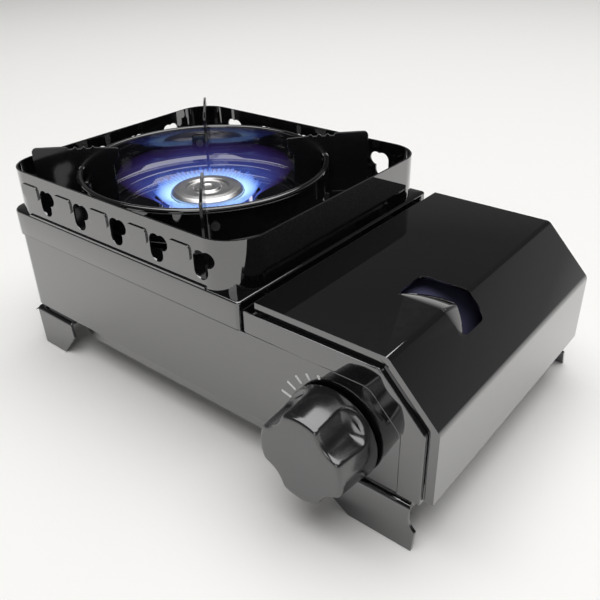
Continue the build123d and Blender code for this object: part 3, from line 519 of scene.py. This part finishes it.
# ------------------------------------------------------------------ finishes
@dataclass(frozen=True)
class Finish:
    """A surface finish: its colour, gloss and texture, and whether it has the painted shade line under the
    top plate's seam.
    """

    name: str
    base: Colour
    worn: Colour
    wear: float
    roughness: tuple[float, float]
    metallic: float = 0.0
    coat: float = 0.0
    coat_roughness: float = 0.03
    specular: float = 0.5
    ior: float = 1.5
    grain_scale: float = 900.0
    grain: float = 0.05
    patch_scale: float = 25.0
    # whether the painted shade line under the top plate's seam is drawn
    seam: bool = False

    def build(self, effects: ShaderEffects) -> bpy.types.Material:
        """Make the material.

        Args:
            effects: The shared shader groups.

        Returns:
            The material, with edge wear, drifting gloss and a fine surface texture. The painted shade line
            is a dark metal on black, which reflects next to nothing, and stands for the shadow in the gap
            under the skirt.
        """
        material = bpy.data.materials.new(self.name)
        material.use_nodes = True
        tree = material.node_tree
        shader = tree.nodes["Principled BSDF"]
        shader.inputs["Metallic"].default_value = self.metallic
        shader.inputs["Coat Weight"].default_value = self.coat
        shader.inputs["Coat Roughness"].default_value = self.coat_roughness
        shader.inputs["Specular IOR Level"].default_value = self.specular
        shader.inputs["IOR"].default_value = self.ior
        low, high = self.roughness
        colours = {"Base": (*self.base, 1), "Worn": (*self.worn, 1), "Amount": self.wear}
        wear = add_node(tree, "Group", colours, node_tree=effects.edge_wear)
        smudge = add_node(tree, "Group", {"Low": low, "High": high, "Scale": self.patch_scale},
                          node_tree=effects.smudges)
        peel = add_node(tree, "Group", {"Scale": self.grain_scale, "Strength": self.grain},
                        node_tree=effects.orange_peel)
        wire(tree, wear, "Color", shader, "Base Color")
        wire(tree, smudge, "Roughness", shader, "Roughness")
        wire(tree, peel, "Normal", shader, "Normal")
        # painted shade: the mask turns the line under the skirt to dark metal, which reflects next to
        # nothing
        if self.seam:
            line = add_node(tree, "Group", node_tree=effects.painted_seam_shade)
            wire(tree, line, "Mask", shader, "Metallic")
        return material


class Finishes:
    """Every material of the stove, by the record's slot."""

    KINDS: tuple[Finish, ...] = (
        # black enamel carries the painted shade line under the top plate's seam
        Finish("black_enamel", (0.004, 0.004, 0.0045), (0.03, 0.03, 0.032), 0.4, (0.02, 0.05), coat=1.0,
               specular=1.0, ior=1.7, grain_scale=260, grain=0.008, seam=True),
        Finish("pan_enamel", (0.006, 0.006, 0.007), (0.05, 0.05, 0.05), 0.4, (0.05, 0.1), coat=1.0,
               specular=0.9, grain_scale=500, grain=0.015),
        Finish("arm_enamel", (0.008, 0.008, 0.009), (0.05, 0.05, 0.05), 0.5, (0.12, 0.2),
               grain_scale=900, grain=0.03),
        Finish("bare_steel", (0.50, 0.50, 0.51), (0.7, 0.7, 0.7), 0.5, (0.28, 0.42), 1.0,
               grain_scale=1500, grain=0.08),
        Finish("fastener_steel", (0.03, 0.03, 0.032), (0.3, 0.3, 0.3), 0.6, (0.25, 0.4), 0.5,
               grain_scale=1500, grain=0.05),
        Finish("burner_casting", (0.42, 0.41, 0.40), (0.7, 0.7, 0.7), 0.5, (0.3, 0.5), 1.0,
               grain_scale=1800, grain=0.15),
        Finish("cap_metal", (0.62, 0.61, 0.60), (0.8, 0.8, 0.8), 0.4, (0.3, 0.42), 1.0,
               grain_scale=1500, grain=0.03),
        Finish("heat_strip_aluminium", (0.7, 0.7, 0.71), (0.8, 0.8, 0.8), 0.3, (0.3, 0.42), 1.0,
               grain_scale=1200, grain=0.05),
        Finish("governor_casting", (0.5, 0.5, 0.51), (0.7, 0.7, 0.7), 0.4, (0.4, 0.55), 1.0,
               grain_scale=1600, grain=0.2),
        Finish("jet_brass", (0.65, 0.46, 0.18), (0.85, 0.7, 0.4), 0.4, (0.2, 0.32), 1.0,
               grain_scale=1500, grain=0.05),
        Finish("magnet_black", (0.03, 0.03, 0.03), (0.08, 0.08, 0.08), 0.4, (0.45, 0.6),
               grain_scale=2000, grain=0.2),
        Finish("knob_plastic", (0.012, 0.012, 0.013), (0.06, 0.06, 0.062), 0.35, (0.14, 0.22), coat=0.3,
               specular=1.0, ior=1.6, grain_scale=1800, grain=0.04),
        Finish("igniter_plastic", (0.02, 0.02, 0.02), (0.06, 0.06, 0.06), 0.3, (0.35, 0.5),
               grain_scale=2000, grain=0.1),
        Finish("plunger_plastic", (0.45, 0.45, 0.43), (0.6, 0.6, 0.58), 0.3, (0.35, 0.5),
               grain_scale=2000, grain=0.08),
        Finish("electrode_glaze", (0.82, 0.81, 0.77), (0.6, 0.58, 0.54), 0.3, (0.1, 0.2),
               grain_scale=900, grain=0.03),
        Finish("lead_insulation", (0.65, 0.65, 0.64), (0.5, 0.5, 0.5), 0.3, (0.5, 0.65),
               grain_scale=2500, grain=0.1),
        Finish("dial_print", (0.86, 0.86, 0.85), (0.5, 0.5, 0.5), 0.2, (0.4, 0.5),
               grain_scale=2500, grain=0.03),
        # canister colour: its own bluish tone, darkened as painted shade for the dim inside of its housing
        Finish("canister_paint", (0.055, 0.055, 0.10), (0.3, 0.3, 0.32), 0.2, (0.12, 0.2),
               grain_scale=900, grain=0.02),
    )

    def __init__(self) -> None:
        """Build every material."""
        self.effects = ShaderEffects()
        self._made = {kind.name: kind.build(self.effects) for kind in self.KINDS}

    def __getitem__(self, slot: str) -> bpy.types.Material:
        """Material of a record slot."""
        return self._made[slot]

    def dress_nodes(self, frame: dict) -> None:
        """Give every CAD node the material of its slot.
        """
        slots = {part["node"]: part["material_slot"] for part in frame["record"]["subparts"]}
        for name, node in frame["nodes"].items():
            node.data.materials.clear()
            node.data.materials.append(self[slots[name]])


# ------------------------------------------------------------------ sub-assemblies
@dataclass
class SubAssembly:
    """A group of pieces that share a place and a body."""

    finishes: Finishes
    body: ClassVar[str] = "stove"

    def add(self, name: str, mesh: Mesh, slot: str, replaces: Sequence[str] = (),
            shading: Shading = Shading.SHEET, merge: float = 0.0,
            material: bpy.types.Material | None = None) -> bpy.types.Object:
        """Make a piece, put it on its body and report it.

        Args:
            name: Name of the piece.
            mesh: Its mesh, in millimetres.
            slot: Record slot that it takes its finish from.
            replaces: CAD nodes that it stands for.
            shading: Angle under which neighbouring faces blend.
            merge: Distance under which vertices are joined.
            material: Its own material, if not the slot's.

        Returns:
            The object.
        """
        piece = make_object(name, mesh, material or self.finishes[slot], shading, merge)
        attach(piece, self.body)
        if replaces:
            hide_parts(*replaces)
        LOG.info("%s: %d faces on %s", name, len(mesh[1]), self.body)
        return piece


@dataclass
class PressedSheet(SubAssembly):
    """Sheet parts whose CAD shape is right: their cut edges are softened to catch the light."""

    nodes: tuple[str, ...] = (
        "front_panel", "side_shell", "canister_frame_front", "canister_frame_rear", "windshield", "cover",
        "foot_front_left", "foot_front_right", "foot_rear_left", "foot_rear_right",
    )
    edge: float = 0.35
    frame_edge: float = 0.8
    segments: int = 3
    sharper_than: float = 38.0
    weld: float = 0.002

    def build(self, frame: dict) -> None:
        """Add a bevel to each node.
        """
        for name in self.nodes:
            frames = "frame" in name
            modifiers = frame["nodes"][name].modifiers
            modifiers.new("weld", "WELD").merge_threshold = self.weld * MM
            bevel = modifiers.new("edges", "BEVEL")
            bevel.width = (self.frame_edge if frames else self.edge) * MM
            bevel.segments = self.segments
            bevel.use_clamp_overlap = not frames
            bevel.limit_method = "ANGLE"
            bevel.angle_limit = math.radians(self.sharper_than)
            modifiers.new("normals", "WEIGHTED_NORMAL")
            LOG.info("%s: edges softened", name)


@dataclass
class TopPlate(SubAssembly):
    """Top plate: a rolled edge, a deep skirt and a round opening."""

    left_corner: float = 9.5
    right_corner: float = 2.5
    edge: float = 1.2
    inner_edge: float = 1.0
    hem: float = 0.3
    sheet: float = 1.0
    opening: float = 57.2
    border: float = 6.0
    side_points: int = 22
    corner_points: int = 9

    def build(self) -> None:
        """Build the plate as one closed surface.

        Rings follow a rounded rectangle along the skirt and the rolled edge, then blend on the
        flat top, linearly in t, into the circle of the opening.
        """
        cx = (SIZES.left + SIZES.plate_right) / 2
        cy = (SIZES.front + SIZES.back) / 2
        half = ((SIZES.plate_right - SIZES.left) / 2, (SIZES.back - SIZES.front) / 2 + SIZES.stand_off)
        radii = (self.right_corner, self.left_corner, self.left_corner, self.right_corner)
        member = rounded_rectangle(half, radii, self.side_points, self.corner_points)
        top, low, under = SIZES.top, SIZES.seam, SIZES.top - self.sheet
        profile = rounded_path(
            [(self.sheet, low), (0.0, low, self.hem), (0.0, top, self.edge), (self.border, top)], False, 6
        )
        inner = rounded_path(
            [(self.border, under), (self.sheet, under, self.inner_edge), (self.sheet, low + self.hem)],
            False, 4,
        )
        angle = np.arctan2(member(0.0)[:, 1], member(0.0)[:, 0])
        circle = np.stack([np.cos(angle), np.sin(angle)], axis=1) * self.opening
        circle += np.array([SIZES.burner_x - cx, SIZES.burner_y - cy])

        def ring(points: Points, z: float) -> Points:
            """Ring at a height."""
            return np.hstack([points + (cx, cy), np.full((len(points), 1), z)])

        rim = member(self.border)
        rings = [ring(member(d), z) for d, z in profile]
        rings += [ring(rim * (1 - t) + circle * t, top) for t in np.linspace(0, 1, 9)[1:]]
        rings += [ring(rim * (1 - t) + circle * t, under) for t in np.linspace(1, 0, 4)]
        rings += [ring(member(d), z) for d, z in inner[1:]]
        mesh = lattice(np.stack(rings), closed_rows=True, closed_columns=True)
        self.add("top_plate_sheet", mesh, "black_enamel", ["top_plate"])


@dataclass
class DripPan(SubAssembly):
    """Lift-out drip pan with a beaded ring wall, and its four pot supports."""

    body: ClassVar[str] = "pan"
    hole: float = 28.0
    lip: float = 86.0
    floor: float = 81.0
    ledge: float = 56.0
    shelf: float = 86.3
    wall: float = 69.5
    bead_out: float = 72.0
    bead_height: float = 2.9
    rim: float = 109.5
    sheet: float = 1.0
    arm_outer: float = 95.5
    arm_top: float = 122.0
    arm_foot: float = 86.4
    arm_sheet: float = 1.6
    arm_nose: float = 48.0
    arm_throat: float = 51.5
    shoulder: float = 76.5
    teeth: int = 3
    tooth_pitch: float = 5.0
    rivet_z: float = 99.0
    tab_end: float = 9.6
    tab_half: float = 5.0
    tab_corner: float = 1.5
    tab_sheet: float = 1.8
    chamfer: float = 0.22
    first_arm: float = 45.0
    names: tuple[str, ...] = ("right_rear", "left_rear", "left_front", "right_front")

    def build(self) -> None:
        """Turn the pan and cut the supports."""
        self._pan()
        self._arms()

    def _pan(self) -> None:
        """The pan: a turned closed profile with rounded bends and a rolled bead."""
        hole, floor, ledge, shelf, wall = self.hole, self.floor, self.ledge, self.shelf, self.wall
        sheet, bead, rim, under_bead = self.sheet, self.bead_out, self.rim, self.rim - self.bead_height
        outside = [
            (hole, self.lip, 0.4), (hole, floor, 1.6), (ledge - 3.0, floor, 2.5), (ledge, shelf - 2.1, 1.5),
            (ledge, shelf, 1.0), (wall - 3.0, shelf, 2.0), (wall, shelf + 3.5, 3.0), (wall, under_bead, 0.6),
            (bead, under_bead, 1.3), (bead, rim, 1.4),
        ]
        inside = [
            (wall - sheet, rim, 1.4), (wall - sheet, shelf + 3.9, 2.2), (wall - 3.4, shelf + sheet, 2.0),
            (ledge - sheet, shelf + sheet, 1.6), (ledge - sheet, shelf - 1.7, 1.0),
            (ledge - 3.4, floor + sheet, 1.8), (hole + sheet, floor + sheet, 0.8),
            (hole + sheet, self.lip, 0.4),
        ]
        mesh = turned(rounded_path(outside + inside, True, 5), (SIZES.burner_x, SIZES.burner_y), 160)
        self.add("drip_pan_shell", mesh, "pan_enamel", ["drip_pan"], Shading.SOFT_EDGES)

    def _blade(self) -> Mesh:
        """One support, in its own plane.

        Returns:
            The blade, with its teeth and the slot that clears the pan's wall and bead.
        """
        top, foot, start, throat = self.arm_top, self.arm_foot, self.shoulder, self.arm_throat
        slot_in, slot_out, slot_top = self.wall - 1.4, self.bead_out + 0.6, self.rim + 0.8
        outline: list[tuple[float, ...]] = [
            (self.arm_outer, foot, 1.0), (self.arm_outer, top, 2.5), (start, top - 0.1, 0.6)
        ]
        for tooth in range(self.teeth):
            at = start - self.tooth_pitch * tooth
            outline += [(at - 1.2, top - 1.5, 0.6), (at - 3.6, top - 1.5, 0.6), (at - 4.8, top - 0.2, 0.6)]
        outline += [
            (start - 16.0, top - 1.2, 0.6), (self.arm_nose, top - 2, 1.2), (self.arm_nose, top - 7, 1.2),
            (throat, top - 12, 2.0), (throat, foot + 1.0, 0.6), (slot_in - 2.8, foot + 1.0, 1.0),
            (slot_in, foot + 3.8, 1.5), (slot_in, slot_top, 1.0), (slot_out, slot_top, 1.0),
            (slot_out, foot, 0.6),
        ]
        half = self.arm_sheet / 2
        return plate(rounded_path(outline, True, 4), -half, half, self.chamfer)

    def _tab(self) -> Mesh:
        """The tab of a support that is riveted to the pan's wall.

        Returns:
            The tab, lying flat.
        """
        near, far, r = self.arm_sheet / 2, self.tab_end, self.tab_corner
        low, high = self.rivet_z - self.tab_half, self.rivet_z + self.tab_half
        outline = rounded_path([(near, low, r), (far, low, r), (far, high, r), (near, high, r)], True, 4)
        return plate(outline, 0.0, self.tab_sheet, self.chamfer)

    def _arms(self) -> None:
        """The supports: a blade on each diagonal, and its tab inside the wall."""
        blade, tab = self._blade(), self._tab()
        origin = np.array([SIZES.burner_x, SIZES.burner_y, 0.0])
        tab_place = self.wall - self.sheet - self.tab_sheet / 2
        up = (0, 0, 1)
        for index, name in enumerate(self.names):
            turn = math.radians(self.first_arm + 90 * index)
            out = np.array([math.cos(turn), math.sin(turn), 0.0])
            side = np.array([-math.sin(turn), math.cos(turn), 0.0])
            wing = placed(tab, origin + out * tab_place, side, up, -out)
            mesh = joined([placed(blade, origin, out, up, side), wing])
            self.add(f"support_{name}", mesh, "arm_enamel", [f"arm_{name}"])


@dataclass
class Knob(SubAssembly):
    """Turning knob with four lobes, scalloped flutes and a round base."""

    body: ClassVar[str] = "knob"
    face: float = 21.8
    base: float = 23.6
    flute: float = 14.0
    flute_place: float = 32.4
    straight: float = 15.0
    run_out: float = 6.0
    rise: float = 5.0
    reach: float = 25.5
    side: float = 23.7
    dish: float = 0.35
    edge: float = 1.8
    soft: float = 0.7
    segments: int = 192

    def _radius(self, t: float, angle: np.ndarray) -> np.ndarray:
        """Radius round the knob at a distance behind the face.

        Args:
            t: Distance behind the face.
            angle: Angles round the knob.

        Returns:
            The smooth minimum of the cone and the near side of the nearest flute circle, which
            past the straight part moves out by rise s^2, where s is the share of the run-out.
            Between the flutes only the cone counts.
        """
        clear = 60.0
        cone = self.face + (self.base - self.face) * min(max(t / self.side, 0.0), 1.0)
        share = max(t - self.straight, 0.0) / self.run_out
        if share >= 1.0:
            return np.full_like(angle, cone)
        off = angle % (math.pi / 2) - math.pi / 4
        inside = self.flute**2 - (self.flute_place * np.sin(off)) ** 2
        near = np.where(inside > 0, self.flute_place * np.cos(off) - np.sqrt(np.maximum(inside, 0)), clear)
        near = near + self.rise * share**2
        blend = -self.soft * np.log(np.exp(-near / self.soft) + np.exp(-cone / self.soft))
        return np.minimum(blend, cone)

    def build(self) -> None:
        """Build the knob as one surface of rings: its dished face, its side, and its hollow back."""
        angle = np.linspace(0, 2 * math.pi, self.segments, endpoint=False)
        outline = self._radius(0.0, angle)

        def row(radius: np.ndarray | float, depth: float) -> Points:
            """One ring."""
            return np.stack([np.broadcast_to(radius, outline.shape), np.full_like(outline, depth)], axis=1)

        rows = []
        for share in (0.0, 0.25, 0.5, 0.72, 0.86):
            rows.append(row(outline * share, self.reach - self.dish * (1 - share) ** 2))
        for turn in np.linspace(0, math.pi / 2, 7):
            inset, fall = self.edge * (1 - math.sin(turn)), self.edge * (1 - math.cos(turn))
            rows.append(row(outline - inset, self.reach - fall))
        for t in np.concatenate([np.linspace(2.4, 17.0, 26), np.linspace(17.6, 22.6, 6)]):
            rows.append(row(self._radius(t, angle), self.reach - t))
        foot = ((self.base, 2.4), (23.3, 1.9), (22.8, 1.8), (21.6, 1.8))
        hollow = ((21.5, 6.4), (7.0, 6.4), (6.5, 6.0), (6.5, 1.8), (0.0, 1.8))
        rows += [row(radius, depth) for radius, depth in foot + hollow]
        grid = np.stack(rows)
        r, depth = grid[..., 0], grid[..., 1]
        across, up = SIZES.knob_x + r * np.cos(angle), SIZES.knob_z + r * np.sin(angle)
        points = np.stack([across, SIZES.front - depth, up], axis=-1)
        mesh = lattice(points, closed_columns=True)
        self.add("knob_grip", mesh, "knob_plastic", ["knob"], Shading.SOFT_EDGES, merge=POLE)


@dataclass
class Dial(SubAssembly):
    """Plain white ticks printed on the panel round the knob, which get longer with the flame."""

    angles: tuple[float, ...] = (166.0, 152.0, 138.0, 124.0, 110.0)
    inner: float = 24.7
    lengths: tuple[float, ...] = (6.4, 5.4, 4.5, 3.3, 2.2)
    width: float = 1.35
    corner: float = 0.3
    ink: float = 0.06
    sunk: float = 0.01

    def build(self) -> None:
        """Lay each tick on the panel as a thin bar with rounded ends."""
        parts = []
        for angle, length in zip(self.angles, self.lengths):
            half, r = self.width / 2, self.corner
            bar = rounded_path([(0, -half, r), (length, -half, r), (length, half, r), (0, half, r)], True, 3)
            turn = math.radians(angle)
            out = (math.cos(turn), 0.0, math.sin(turn))
            across = (-math.sin(turn), 0.0, math.cos(turn))
            origin = (SIZES.knob_x + self.inner * out[0], SIZES.front, SIZES.knob_z + self.inner * out[2])
            tick = plate(bar, -self.sunk, self.ink, self.sunk)
            parts.append(placed(tick, origin, out, across, (0, -1, 0)))
        self.add("dial_ticks", joined(parts), "plunger_plastic", material=self.finishes["dial_print"])


@dataclass
class FingerScoop(SubAssembly):
    """Dished rest on the near side of the cover's finger slot, and the crease that it crosses."""

    body: ClassVar[str] = "cover"
    start: float = 95.0
    end: float = 127.0
    near: float = -25.4
    bulge: float = 13.5
    depth: float = 3.1
    sheet: float = 0.7
    lean: float = 0.2
    proud: float = 0.05
    crease: float = 118.0
    slope: float = 1.04
    cover_top: float = 88.0

    def build(self) -> None:
        """Build the scoop between the slot's near edge and a bowed inner edge.

        At share u along and v inwards, with b = sin(pi u)^0.7, the point is
        x = start + u (end - start), y = near + bulge b v, z = cover(x) + proud - depth b v^1.2,
        where cover(x) falls past the crease at the slope of the bevel. The lower side lies a
        sheet further down and leans out by lean b v.
        """
        u = np.linspace(0.0, 1.0, 41)[None, :]
        v = np.linspace(0.0, 1.0, 13)[:, None]
        bow = np.sin(math.pi * u) ** 0.7
        x = self.start + u * (self.end - self.start) + 0 * v
        y = self.near + self.bulge * bow * v
        cover = self.cover_top - self.slope * np.maximum(x - self.crease, 0)
        z = cover + self.proud - self.depth * bow * v**1.2
        upper = np.stack([x, y, z], axis=-1)
        lower = np.stack([x, y - self.lean * bow * v, z - self.sheet], axis=-1)
        mesh = lattice(np.vstack([upper, lower[::-1]]), closed_rows=True)
        self.add("finger_scoop", mesh, "black_enamel", shading=Shading.SOFT_EDGES)


@dataclass
class Burner(SubAssembly):
    """Burner head: cap with turned rings, and the flames."""

    count: int = 64
    root: float = 21.0
    port_height: float = 89.0
    flame_length: float = 10.5
    flame_rise: float = 5.5
    flame_half: float = 1.7
    mantle_root: float = 31.0
    mantle_spread: float = 20.0
    mantle_low: float = 90.0
    mantle_height: float = 15.0
    mantle_wave: float = 0.8
    mantle_lobes: int = 11
    mantle_sheet: float = 0.4

    def build(self) -> None:
        """Build the cap and the flames."""
        centre = (SIZES.burner_x, SIZES.burner_y)
        cap = rounded_path([
            (0.0, 88.0), (16.8, 88.0, 0.3), (16.8, 90.0, 0.2), (21.5, 90.0, 0.6), (21.5, 91.6, 0.9),
            (19.5, 93.3, 1.2), (16.5, 94.0, 1.0), (13.0, 94.0, 0.5), (12.0, 92.7, 0.5), (8.6, 92.7, 0.5),
            (7.6, 94.0, 0.5), (4.0, 94.0, 0.5), (3.0, 93.2, 0.4), (0.0, 93.2),
        ], False, 4)
        self.add("burner_cap_turned", turned(cap, centre, 96, closed=False), "cap_metal", ["burner_cap"],
                 Shading.SOFT_EDGES, merge=POLE)
        self._flames(centre)
        self._mantle(centre)

    def _flames(self, centre: tuple[float, float]) -> None:
        """Ring of short flames, each a teardrop along an arc that leaves its port and curls up.

        The flame's middle line is r = root + length wave t, z = port + rise wave t^1.6, where
        wave differs from flame to flame. Its half width is half sin(pi t^0.8)^0.6, and each
        ring round the line is an ellipse, a tenth taller than it is wide.

        Args:
            centre: Place of the burner axis.
        """
        t = np.linspace(0.02, 1.0, 13)
        turn = np.linspace(0, 2 * math.pi, 8, endpoint=False)
        taller, thinnest = 1.1, 0.02
        parts = []
        for index in range(self.count):
            base = 2 * math.pi * (index + 0.5) / self.count
            wave = 0.92 + 0.18 * math.sin(5.1 * index) * math.sin(2.3 * index + 1)
            r = (self.root + self.flame_length * t * wave)[:, None]
            z = (self.port_height + self.flame_rise * t**1.6 * wave)[:, None]
            half = (self.flame_half * np.sin(math.pi * t**0.8) ** 0.6 + thinnest)[:, None]
            angle = base + half * np.cos(turn) / r
            x, y = centre[0] + r * np.cos(angle), centre[1] + r * np.sin(angle)
            grid = np.stack([x, y, z + half * np.sin(turn) * taller], axis=-1)
            vertices, faces = lattice(grid, closed_columns=True)
            last = len(vertices) - len(turn)
            faces += [tuple(range(len(turn) - 1, -1, -1)), tuple(range(last, len(vertices)))]
            parts.append((vertices, faces))
        self.add("flames", joined(parts), "cap_metal", shading=Shading.SMOOTH, material=flame_material())

    def _mantle(self, centre: tuple[float, float]) -> None:
        """Faint outer cone of the flames, a turned shell that fades upwards and outwards.

        At height share t and angle a its radius is root + spread t^1.4 + wave sin(lobes a), and
        its height low + height t. The inner side lies a sheet further in.

        Args:
            centre: Place of the burner axis.
        """
        t = np.linspace(0.0, 1.0, 17)[:, None]
        a = np.linspace(0, 2 * math.pi, 144, endpoint=False)[None, :]
        radius = self.mantle_root + self.mantle_spread * t**1.4
        radius = radius + self.mantle_wave * np.sin(self.mantle_lobes * a)
        z = self.mantle_low + self.mantle_height * t + 0 * a
        outer, inner = (
            np.stack([centre[0] + r * np.cos(a), centre[1] + r * np.sin(a), z], axis=-1)
            for r in (radius, radius - self.mantle_sheet)
        )
        mesh = lattice(np.vstack([outer, inner[::-1]]), closed_rows=True, closed_columns=True)
        material = flame_material(
            "flame_mantle", reach_between=(0.030, 0.052), root=(0.10, 0.20, 0.9), tip=(0.16, 0.05, 0.42),
            opacity=(0.16, 0.0), strength=1.2,
        )
        self.add("flame_mantle", mesh, "cap_metal", shading=Shading.SMOOTH, material=material)


def flame_material(
    name: str = "gas_flame", reach_between: tuple[float, float] = (0.022, 0.0325),
    root: Colour = (0.45, 0.72, 1.0), tip: Colour = (0.06, 0.16, 0.9),
    opacity: tuple[float, float] = (0.6, 0.02), strength: float = 1.5,
) -> bpy.types.Material:
    """Blue gas flame: bright at its root, violet and clear towards its tip.

    Args:
        name: Name of the material.
        reach_between: Distances from the burner axis, in metres, of the root and the tip.
        root: Colour at the root.
        tip: Colour at the tip.
        opacity: Opacity at the root and at the tip.
        strength: Brightness.

    Returns:
        The material; the distance from the burner axis drives colour and opacity.
    """
    material = bpy.data.materials.new(name)
    material.use_nodes = True
    tree = material.node_tree
    shader = tree.nodes["Principled BSDF"]
    shader.inputs["Base Color"].default_value = (0, 0, 0, 1)
    shader.inputs["Roughness"].default_value = 1.0
    shader.inputs["Specular IOR Level"].default_value = 0.0
    shader.inputs["Emission Strength"].default_value = strength
    place = add_node(tree, "TexCoord")
    centre = add_node(tree, "Mapping", {"Location": (-SIZES.burner_x * MM, -SIZES.burner_y * MM, 0)})
    flat = add_node(tree, "VectorMath", {1: (1, 1, 0)}, operation="MULTIPLY")
    reach = add_node(tree, "VectorMath", operation="LENGTH")
    spread = add_node(tree, "MapRange", {"From Min": reach_between[0], "From Max": reach_between[1]})
    colour = add_node(tree, "ValToRGB")
    clear = add_node(tree, "ValToRGB")
    for end, (shade, cover) in enumerate(zip((root, tip), opacity)):
        colour.color_ramp.elements[end].color = (*shade, 1)
        clear.color_ramp.elements[end].color = (cover, cover, cover, 1)
    wire(tree, place, "Object", centre, "Vector")
    wire(tree, centre, "Vector", flat, 0)
    wire(tree, flat, "Vector", reach, 0)
    wire(tree, reach, "Value", spread, "Value")
    wire(tree, spread, "Result", colour, "Fac")
    wire(tree, spread, "Result", clear, "Fac")
    wire(tree, colour, "Color", shader, "Emission Color")
    wire(tree, clear, "Color", shader, "Alpha")
    return material


# ------------------------------------------------------------------ stage
@dataclass(frozen=True)
class Camera:
    """View of the stove: place and sensor in millimetres, angles in radians, the rest in pixels."""

    place: tuple[float, float, float] = (233.18, -260.84, 245.3)
    yaw: float = -0.688
    pitch: float = 0.533
    roll: float = -0.023
    focal: float = 701.8
    middle: tuple[float, float] = (302.3, 299.8)
    picture: float = 600.0
    sensor: float = 36.0

    def build(self) -> None:
        """Make the camera and use it."""
        level = math.cos(self.pitch)
        forward = np.array([math.sin(self.yaw) * level, math.cos(self.yaw) * level, -math.sin(self.pitch)])
        right = np.array([math.cos(self.yaw), -math.sin(self.yaw), 0.0])
        up = np.cross(right, forward)
        turned_right = right * math.cos(self.roll) + up * math.sin(self.roll)
        turned_up = -right * math.sin(self.roll) + up * math.cos(self.roll)
        data = bpy.data.cameras.new("camera")
        data.sensor_width = self.sensor
        data.lens = self.focal / self.picture * self.sensor
        data.shift_x = (self.picture / 2 - self.middle[0]) / self.picture
        data.shift_y = (self.middle[1] - self.picture / 2) / self.picture
        data.clip_start = 0.01
        camera = bpy.data.objects.new("camera", data)
        bpy.context.scene.collection.objects.link(camera)
        matrix = np.eye(4)
        matrix[:3, 0], matrix[:3, 1], matrix[:3, 2] = turned_right, turned_up, -forward
        matrix[:3, 3] = np.array(self.place) * MM
        camera.matrix_world = Matrix(matrix.tolist())
        bpy.context.scene.camera = camera


@dataclass(frozen=True)
class Lamp:
    """Square soft lamp: place and target in metres, side in metres, power in watts."""

    name: str
    place: tuple[float, float, float]
    target: tuple[float, float, float]
    size: float
    power: float

    def build(self) -> None:
        """Make the lamp."""
        data = bpy.data.lights.new(self.name, "AREA")
        data.size = self.size
        data.energy = self.power
        lamp = bpy.data.objects.new(self.name, data)
        bpy.context.scene.collection.objects.link(lamp)
        ahead = np.array(self.target, float) - np.array(self.place, float)
        ahead /= np.linalg.norm(ahead)
        side = np.cross(ahead, (0, 0, 1))
        side /= np.linalg.norm(side)
        up = np.cross(side, ahead)
        matrix = np.eye(4)
        matrix[:3, 0], matrix[:3, 1], matrix[:3, 2], matrix[:3, 3] = side, up, -ahead, self.place
        lamp.matrix_world = Matrix(matrix.tolist())


@dataclass(frozen=True)
class Studio:
    """Pale floor, soft lamps and a world that is bright only near the horizon."""

    floor_colour: Colour = (0.88, 0.87, 0.855)
    floor_half: float = 4000.0
    floor_height: float = -0.2
    world_colour: Colour = (0.86, 0.85, 0.84)
    fade: tuple[tuple[float, float], ...] = ((0.08, 0.9), (0.24, 0.2), (0.42, 0.055))
    lamps: tuple[Lamp, ...] = (
        Lamp("key", (0.05, 0.2, 2.2), (0.0, 0.1, 0.0), 3.0, 76.0),
        Lamp("fill", (1.0, -1.6, 1.0), (0.0, 0.0, 0.05), 0.8, 4.0),
    )

    def build(self) -> None:
        """Build the floor, the lamps and the world."""
        self._floor()
        for lamp in self.lamps:
            lamp.build()
        self._world()
        bpy.context.scene.view_settings.view_transform = "Standard"

    def _world(self) -> None:
        """World that darkens from the horizon up, so that flat enamel mirrors a dark room."""
        world = bpy.data.worlds.new("room")
        bpy.context.scene.world = world
        world.use_nodes = True
        tree = world.node_tree
        back = tree.nodes["Background"]
        back.inputs["Color"].default_value = (*self.world_colour, 1)
        place = add_node(tree, "TexCoord")
        split = add_node(tree, "SeparateXYZ")
        fade = add_node(tree, "ValToRGB")
        stops = fade.color_ramp.elements
        stops[0].position, stops[1].position = self.fade[0][0], self.fade[-1][0]
        stops.new(self.fade[1][0])
        for stop, (_, strength) in zip(stops, self.fade):
            stop.color = (strength, strength, strength, 1)
        wire(tree, place, "Generated", split, "Vector")
        wire(tree, split, "Z", fade, "Fac")
        wire(tree, fade, "Color", back, "Strength")

    def _floor(self) -> None:
        """Large flat floor."""
        material = bpy.data.materials.new("floor_paper")
        material.use_nodes = True
        shader = material.node_tree.nodes["Principled BSDF"]
        shader.inputs["Base Color"].default_value = (*self.floor_colour, 1)
        shader.inputs["Roughness"].default_value = 0.8
        half, z = self.floor_half, self.floor_height
        points = np.array([[[-half, y, z], [half, y, z]] for y in (-half, half)])
        make_object("floor", lattice(points), material)


def main() -> None:
    """Build the stove and its stage."""
    logging.basicConfig(level=logging.INFO, format="%(name)s: %(message)s")
    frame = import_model()
    finishes = Finishes()
    finishes.dress_nodes(frame)
    PressedSheet(finishes).build(frame)
    for kind in (TopPlate, DripPan, Knob, Dial, FingerScoop, Burner):
        kind(finishes).build()
        LOG.info("built %s", kind.__name__)
    Studio().build()
    Camera().build()


if __name__ == "__main__":
    main()
